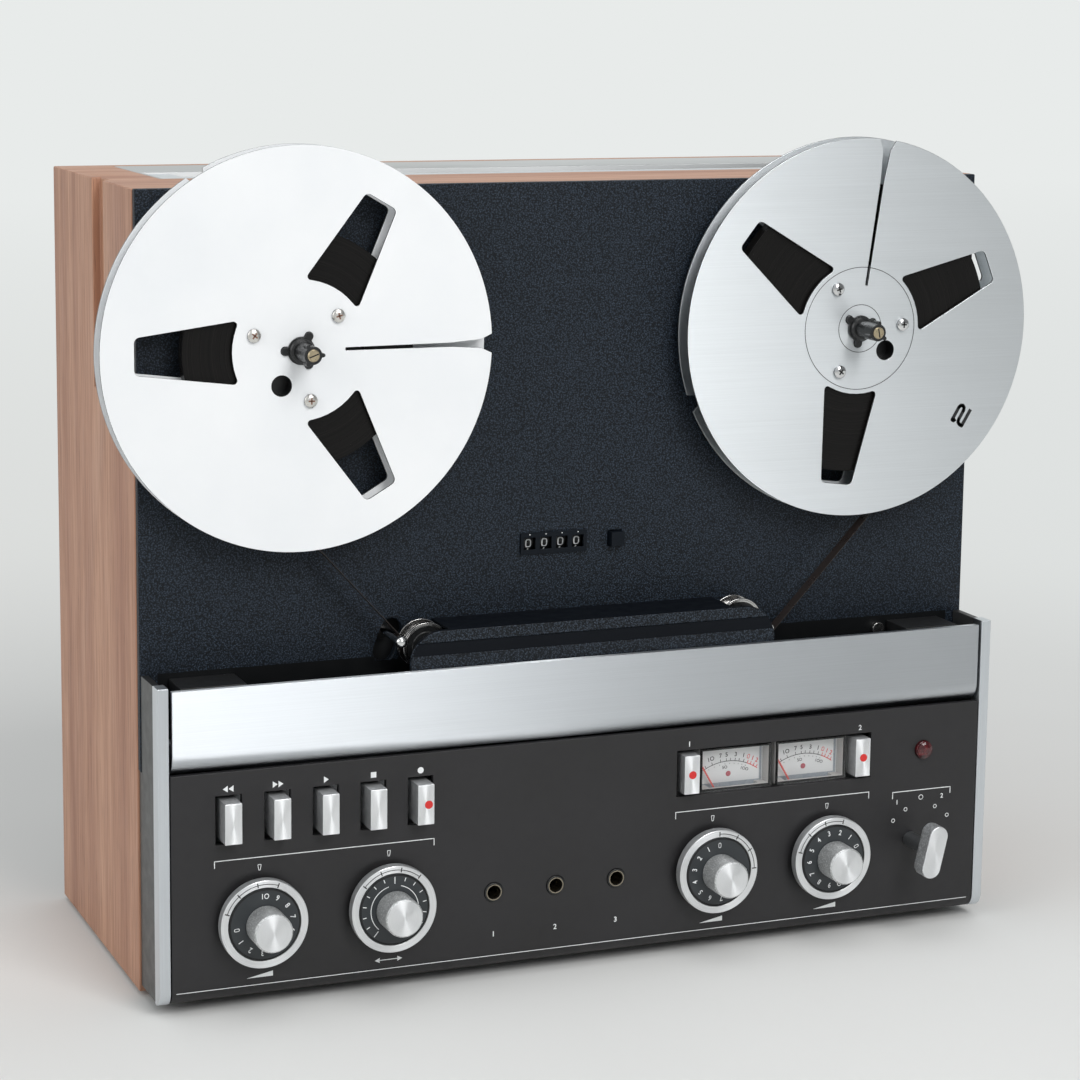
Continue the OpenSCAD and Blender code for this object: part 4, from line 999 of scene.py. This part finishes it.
def dial_print(node, centre):
    """Figures 0 to 10 round the dial, or ticks to both sides on the balance knob."""
    mark = Print(DIAL_FACE)
    if node in DIAL_STARTS:
        for figure in range(11):
            turn = DIAL_STARTS[node] + DIAL_STEP * figure
            mark.figures(str(figure), polar(centre, DIAL_FIGURES_AT, 90 + turn), 2.5, turn, 0.86)
    else:
        for turn in range(-140, 141, 20):
            length = 3.2 if turn % 140 == 0 else 1.7
            ends = [polar(centre, radius, 90 + turn) for radius in (DIAL_TICKS_AT, DIAL_TICKS_AT - length)]
            mark.bar(*ends, 0.4)
        for first, last in ((105, 228), (-48, 75)):
            mark.arc(centre, DIAL_LINE_AT, 0.35, first, last, 40)
    mark.done(node + "_figures", node, WHITE_INK)


def knob(node):
    """Grip on a dark dial with printing, and a black ring of painted shade at its edge."""
    centre = middle(node)
    made = knob_grip(node, centre)
    disc = [(GRIP_RADIUS - 0.4, DIAL_FACE), (DIAL_RADIUS - 0.5, DIAL_FACE),
            (DIAL_RADIUS, DIAL_FACE + 0.5), (DIAL_RADIUS, DIAL_BACK)]
    turned(node + "_dial", disc, centre, node, DIAL, 96)
    dial_print(node, centre)
    # Black ring at the dial's edge: painted shade of the gap round it.
    edge = Print(DIAL_FACE)
    edge.ring(centre, DIAL_RADIUS - 0.3, 0.6, 72)
    edge.done(node + "_dial_edge_shade", node, PAINTED_SHADE)
    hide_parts(node)


def selector_ring(node, turns):
    """Bright outer ring with a matt side, its back painted black as painted shade of the gap under it, and
    black setting marks.
    """
    soften(node, RING, 0.4, [(KEY_SIDE, is_side), (BLACK, lambda place, normal: place.y > RING_SHADE_DEPTH)])
    centre = middle(node)
    mark = Print(front(node))
    for turn in turns:
        mark.bar(*[polar(centre, radius, 90 + turn) for radius in RING_MARKS], 0.5)
    mark.arc(centre, RING_LINE_AT, 0.3, 90 + turns[0], 90 + turns[-1], 40)
    mark.done(node + "_marks", node, BLACK_INK)


def power_knob():
    """Bar-shaped knob with a faced front and knurled sides on a neck painted dark grey as painted shade."""
    soften("power_knob", POWER_FACE, 0.6, [
        (KNOB_SIDE, is_side), (SHADE_GREY_METAL, lambda place, normal: place.y > POWER_NECK)])


for knob_node in KNOBS:
    knob(knob_node)
selector_ring("mode_ring", (70, 40, 10, -20))
selector_ring("input_ring", (50, 20, -10, -40))
selector_ring("source_ring_one", (0, -30, -60, -90))
selector_ring("source_ring_two", (75, 45, 15, -15))
power_knob()


# Meters

METER_XS = (71.8, 111.2)
METER_FACE_DEPTH = -25.0
METER_RIM = 6
SCALE_SHIFT = -0.7
SCALE_PIVOT_Z = 63.2
SCALE_RADIUS = 26.2
SCALE_FIGURES_AT = 29.4
METER_DOT_Z = 83.3
METER_DOT_RADIUS = 1.3
STEP_OUTER = 16.6
STEP_INNER = 15.4
STEP_LOW = 76.9
STEP_TOP = 79.4
STEP_HIGH = 96.8


def meter_scale(pivot, black, red):
    """Upper scale with ticks and figures, red at its end, and a dotted lower scale."""
    radius = SCALE_RADIUS
    black.arc(pivot, radius, 0.32, 68.2, 121, 40)
    red.arc(pivot, radius, 0.38, 54.6, 68.2, 24)
    for turn in (116, 108.4, 98.8, 92.3, 87.8, 82.5, 78, 72.7):
        black.bar(polar(pivot, radius, turn), polar(pivot, radius + 1.4, turn), 0.3)
    for turn in (68, 64.3, 60.5, 56.8):
        red.bar(polar(pivot, radius, turn), polar(pivot, radius + 1.5, turn), 0.35)

    def figures(mark, at, height, places):
        for turn, words in places:
            mark.figures(words, polar(pivot, at, turn), height, 0.8 * (turn - 90))

    figures(black, SCALE_FIGURES_AT, 2.1, ((108.3, "10"), (98.2, "7"), (92, "5"), (82.6, "3"), (74.4, "1")))
    figures(red, SCALE_FIGURES_AT, 2.1, ((69.2, "0"), (64.4, "1"), (59.8, "2")))
    for turn in (114, 107.1, 100.5, 94, 88.5, 83, 78, 73.5, 69):
        black.disc(polar(pivot, 24.9, turn), 0.2, 10)
    figures(black, 23.4, 1.5, ((94.6, "50"), (69, "100")))


def meters():
    """Cases with pale dials and walls painted a greyer shade, needles, glass and the dials' printing."""
    def is_rim(place, normal):
        return place.y < METER_FACE_DEPTH - METER_RIM and normal.y < -0.5

    soften("meter_cases", METER_FACE, 0.12, [(METER_WALL_SHADE, is_side), (BLACK, is_rim)])
    soften("needle_one", NEEDLE, 0.05)
    soften("needle_two", NEEDLE, 0.05)
    paint(GLASS, "meter_glasses")
    black = Print(METER_FACE_DEPTH)
    red = Print(METER_FACE_DEPTH)
    step = Print(METER_FACE_DEPTH)
    spots = Print(METER_FACE_DEPTH)
    for x in METER_XS:
        meter_scale((x + SCALE_SHIFT, SCALE_PIVOT_Z), black, red)
        spots.disc((x + SCALE_SHIFT, METER_DOT_Z), METER_DOT_RADIUS)
        # Strips along each dial's bottom and right edge, painted in as shade.
        step.box(x - STEP_OUTER, x + STEP_OUTER, STEP_LOW, STEP_TOP)
        step.box(x + STEP_INNER, x + STEP_OUTER, STEP_TOP, STEP_HIGH)
    step.done("meter_face_step_shade", "recorder", METER_STEP_SHADE)
    black.done("meter_scale_black", "recorder", BLACK_INK)
    red.done("meter_scale_red", "recorder", RED_INK)
    spots.done("meter_dots", "recorder", METER_DOT)


meters()


# Panel printing

INK = 0.38
KEY_SIGNS_Z = 101.8
SIGN_SIZE = 1.5
WIND_APART = 1.3
BRACKETS = ((-181, -79, 69.6), (40.5, 142, 69.6), (155, 186.5, 68))
BRACKET_DROP = 3.2
POINTER_TOP = 66.2
POINTER_LOW = 63.7
WEDGE_LOW = 14.6
WEDGE_HIGH = 17.0
ARROW_Z = 15.5
POWER_STOPS = ((155.7, 54), (162.3, 59), (178.4, 59), (185.2, 54))
POWER_FIGURES = (("1", (157.5, 63)), ("2", (182, 64)))
POWER_MIDDLE = (170.5, 64.3)
FOOT_LINE = ((-198.6, 11.3), (197.5, 11.3))
JACK_FIGURES_Z = 21.5


def key_signs(mark):
    """Plain tape signs over the keys: wind back, wind on, play, stop and record."""
    z = KEY_SIGNS_Z
    size = SIGN_SIZE
    both = (-WIND_APART, WIND_APART)
    for node, places, way in (("key_rewind", both, -1), ("key_forward", both, 1), ("key_play", (0,), 1)):
        for place in places:
            x = middle(node)[0] + place
            back = x - way * size * 0.6
            mark.poly([(back, z - size), (x + way * size * 0.9, z), (back, z + size)])
    x = middle("key_stop")[0]
    half = 1.3
    mark.box(x - half, x + half, z - half, z + half)
    mark.disc((middle("key_record")[0], z), 1.45)
    for node, words in zip(RECORD_KEYS, ("1", "2")):
        mark.figures(words, (middle(node)[0], z), 2.5)


def brackets(mark):
    """Lines that bind a group of controls, with end ticks."""
    for left, right, z in BRACKETS:
        mark.bar((left, z), (right, z), INK)
        for x in (left, right):
            mark.bar((x, z + INK / 2), (x, z - BRACKET_DROP), INK)


def knob_signs(mark):
    """Pointers over the knobs and wedges or a double arrow under them."""
    for node in KNOBS:
        x = middle(node)[0]
        mark.outline([(x - 0.75, POINTER_TOP), (x + 0.75, POINTER_TOP),
                      (x + 0.35, POINTER_LOW), (x - 0.35, POINTER_LOW)], 0.28)
        if node == "balance_knob":
            mark.bar((x - 5, ARROW_Z), (x + 5, ARROW_Z), INK)
            for way in (-1, 1):
                foot = x + way * 4.2
                half = way * 1.2
                mark.poly([(x + way * 6.5, ARROW_Z), (foot, ARROW_Z - half), (foot, ARROW_Z + half)])
        else:
            mark.poly([(x - 6, WEDGE_LOW), (x + 6, WEDGE_LOW), (x + 6, WEDGE_HIGH)])


def power_signs(mark):
    """Rings at the power knob's stops, with plain figures for two of them."""
    for place in POWER_STOPS:
        mark.ring(place, 0.85, 0.3, 20)
    for words, place in POWER_FIGURES:
        mark.figures(words, place, 2.3)
    mark.ring(POWER_MIDDLE, 1.1, 0.3, 24)


def panel_print():
    """All white printing on the control panel, with a long line at its foot."""
    mark = Print(front("control_panel"))
    key_signs(mark)
    brackets(mark)
    knob_signs(mark)
    power_signs(mark)
    mark.bar(*FOOT_LINE, 0.32)
    for x, words in zip(JACK_XS, ("1", "2", "3")):
        mark.figures(words, (x, JACK_FIGURES_Z), 2.5)
    mark.done("panel_print", "recorder", WHITE_INK)


panel_print()
rear_screws()


# Studio

BACKDROP = srgb(232, 235, 234)


def studio_floor():
    """Pale floor that takes the shadow near the object and fades to an even bright sweep."""
    floor_z = cad_box[0].z
    reach_m = 9.0
    corners = [(-reach_m, -reach_m), (reach_m, -reach_m), (reach_m, reach_m), (-reach_m, reach_m)]
    mesh = bpy.data.meshes.new("studio_floor")
    mesh.from_pydata([(x, y, floor_z) for x, y in corners], [], [(0, 1, 2, 3)])
    look = Look("studio_paper", srgb(222, 222, 220), 0.9)
    look.drift(400, srgb(220, 220, 218), srgb(224, 224, 222), 3)
    look.bump(look.noise(3, detail=4), 0.05, 0.2)
    far = look.spread(look.axis(look.place(), "Y"), 0, 1, 0.8, 4.5)
    side = look.spread(look.axis(look.place(), "X"), 0, 1, -0.9, 0.9)
    sweep = look.mix(side, srgb(215, 216, 214), srgb(222, 225, 224))
    glow = look.node("Emission", {"Strength": 1.0, "Color": look.mix(far, sweep, BACKDROP)})
    away = look.spread(look.length(look.place((1, 1, 0))), 0, 1, 0.25, 1.1, "SMOOTHERSTEP")
    seen = look.combine(away, look.rays("Camera", "Transmission", "Glossy"), "MULTIPLY")
    look.surface(seen, look.shader.outputs["BSDF"], glow.outputs["Emission"])
    mesh.materials.append(look.material)
    floor = added("studio_floor", mesh)


def studio_world():
    """Soft room light, dimmer to the right of the front, with a bright backdrop for rays that see it.
    Metal and glass show the backdrop only where they look behind the object, because it stands there."""
    world = bpy.data.worlds.new("studio")
    bpy.context.scene.world = world
    world.use_nodes = True
    nodes = Nodes(world.node_tree)
    room = nodes.tree.nodes["Background"]
    way = nodes.node("TexCoord").outputs["Generated"]
    back = nodes.axis(way, "Y")
    around = nodes.combine(nodes.axis(way, "X"), nodes.combine(back, -1, "MULTIPLY"), "ARCTAN2")
    falls = nodes.spread(around, 0.55, 0.2, math.radians(10), math.radians(32), "SMOOTHSTEP")
    rises = nodes.spread(around, 0.0, 0.3, math.radians(60), math.radians(110), "SMOOTHSTEP")
    nodes.feed(room.inputs["Color"], (0.95, 0.98, 1.0, 1))
    nodes.feed(room.inputs["Strength"], nodes.combine(falls, rises))
    backdrop = nodes.node("Background", {"Color": BACKDROP, "Strength": 1.0})
    behind = nodes.spread(back, 0, 1, 0.0, 0.4)
    bounced = nodes.combine(nodes.rays("Glossy", "Transmission"), behind, "MULTIPLY")
    seen = nodes.combine(nodes.rays("Camera"), bounced, "MAXIMUM")
    nodes.surface(seen, room.outputs["Background"], backdrop.outputs["Background"], "World Output")


def soft_box(name, azimuth, elevation, distance_m, wide_m, high_m, watts):
    """Area light aimed at the object; azimuth 0 is in front, positive to the right."""
    light = bpy.data.lights.new(name, "AREA")
    light.shape = "RECTANGLE"
    light.size = wide_m
    light.size_y = high_m
    light.energy = watts
    holder = added(name, light)
    around = math.radians(azimuth)
    above = math.radians(elevation)
    aim = Vector((0, 0, 0.2))
    level = Vector((math.sin(around), -math.cos(around), 0))
    way = level * math.cos(above) + Vector((0, 0, math.sin(above)))
    holder.location = aim + way * distance_m
    holder.rotation_euler = way.to_track_quat("Z", "Y").to_euler()


def camera():
    """Camera solved from the photograph's straight edges and circles."""
    place = spot(-513.136, -1210.509, 453.267)
    yaw = math.radians(21.988)
    pitch = math.radians(-9.224)
    roll = math.radians(0.624)
    image_px = 1080
    focal_px = 2891.6
    centre_px = (523.09, 443.68)
    level = Vector((math.sin(yaw), math.cos(yaw), 0))
    across = Vector((math.cos(yaw), -math.sin(yaw), 0))
    ahead = level * math.cos(pitch) + Vector((0, 0, math.sin(pitch)))
    above = Vector((0, 0, math.cos(pitch))) - level * math.sin(pitch)
    right = across * math.cos(roll) + above * math.sin(roll)
    top = above * math.cos(roll) - across * math.sin(roll)
    lens = bpy.data.cameras.new("photo_camera")
    lens.sensor_width = 36
    lens.lens = focal_px / image_px * lens.sensor_width
    lens.shift_x = (image_px / 2 - centre_px[0]) / image_px
    lens.shift_y = (centre_px[1] - image_px / 2) / image_px
    lens.clip_start = 0.05
    lens.clip_end = 60
    holder = added("photo_camera", lens)
    holder.matrix_world = Matrix((right, top, -ahead)).transposed().to_4x4()
    holder.location = place
    bpy.context.scene.camera = holder


studio_floor()
studio_world()
soft_box("key_light", 9, 38, 2.3, 0.9, 1.3, 28)
soft_box("left_fill", -75, 25, 2.6, 1.6, 1.6, 15)
soft_box("top_fill", 0, 85, 2.4, 1.8, 1.4, 11)
camera()
bpy.context.scene.view_settings.view_transform = "Standard"
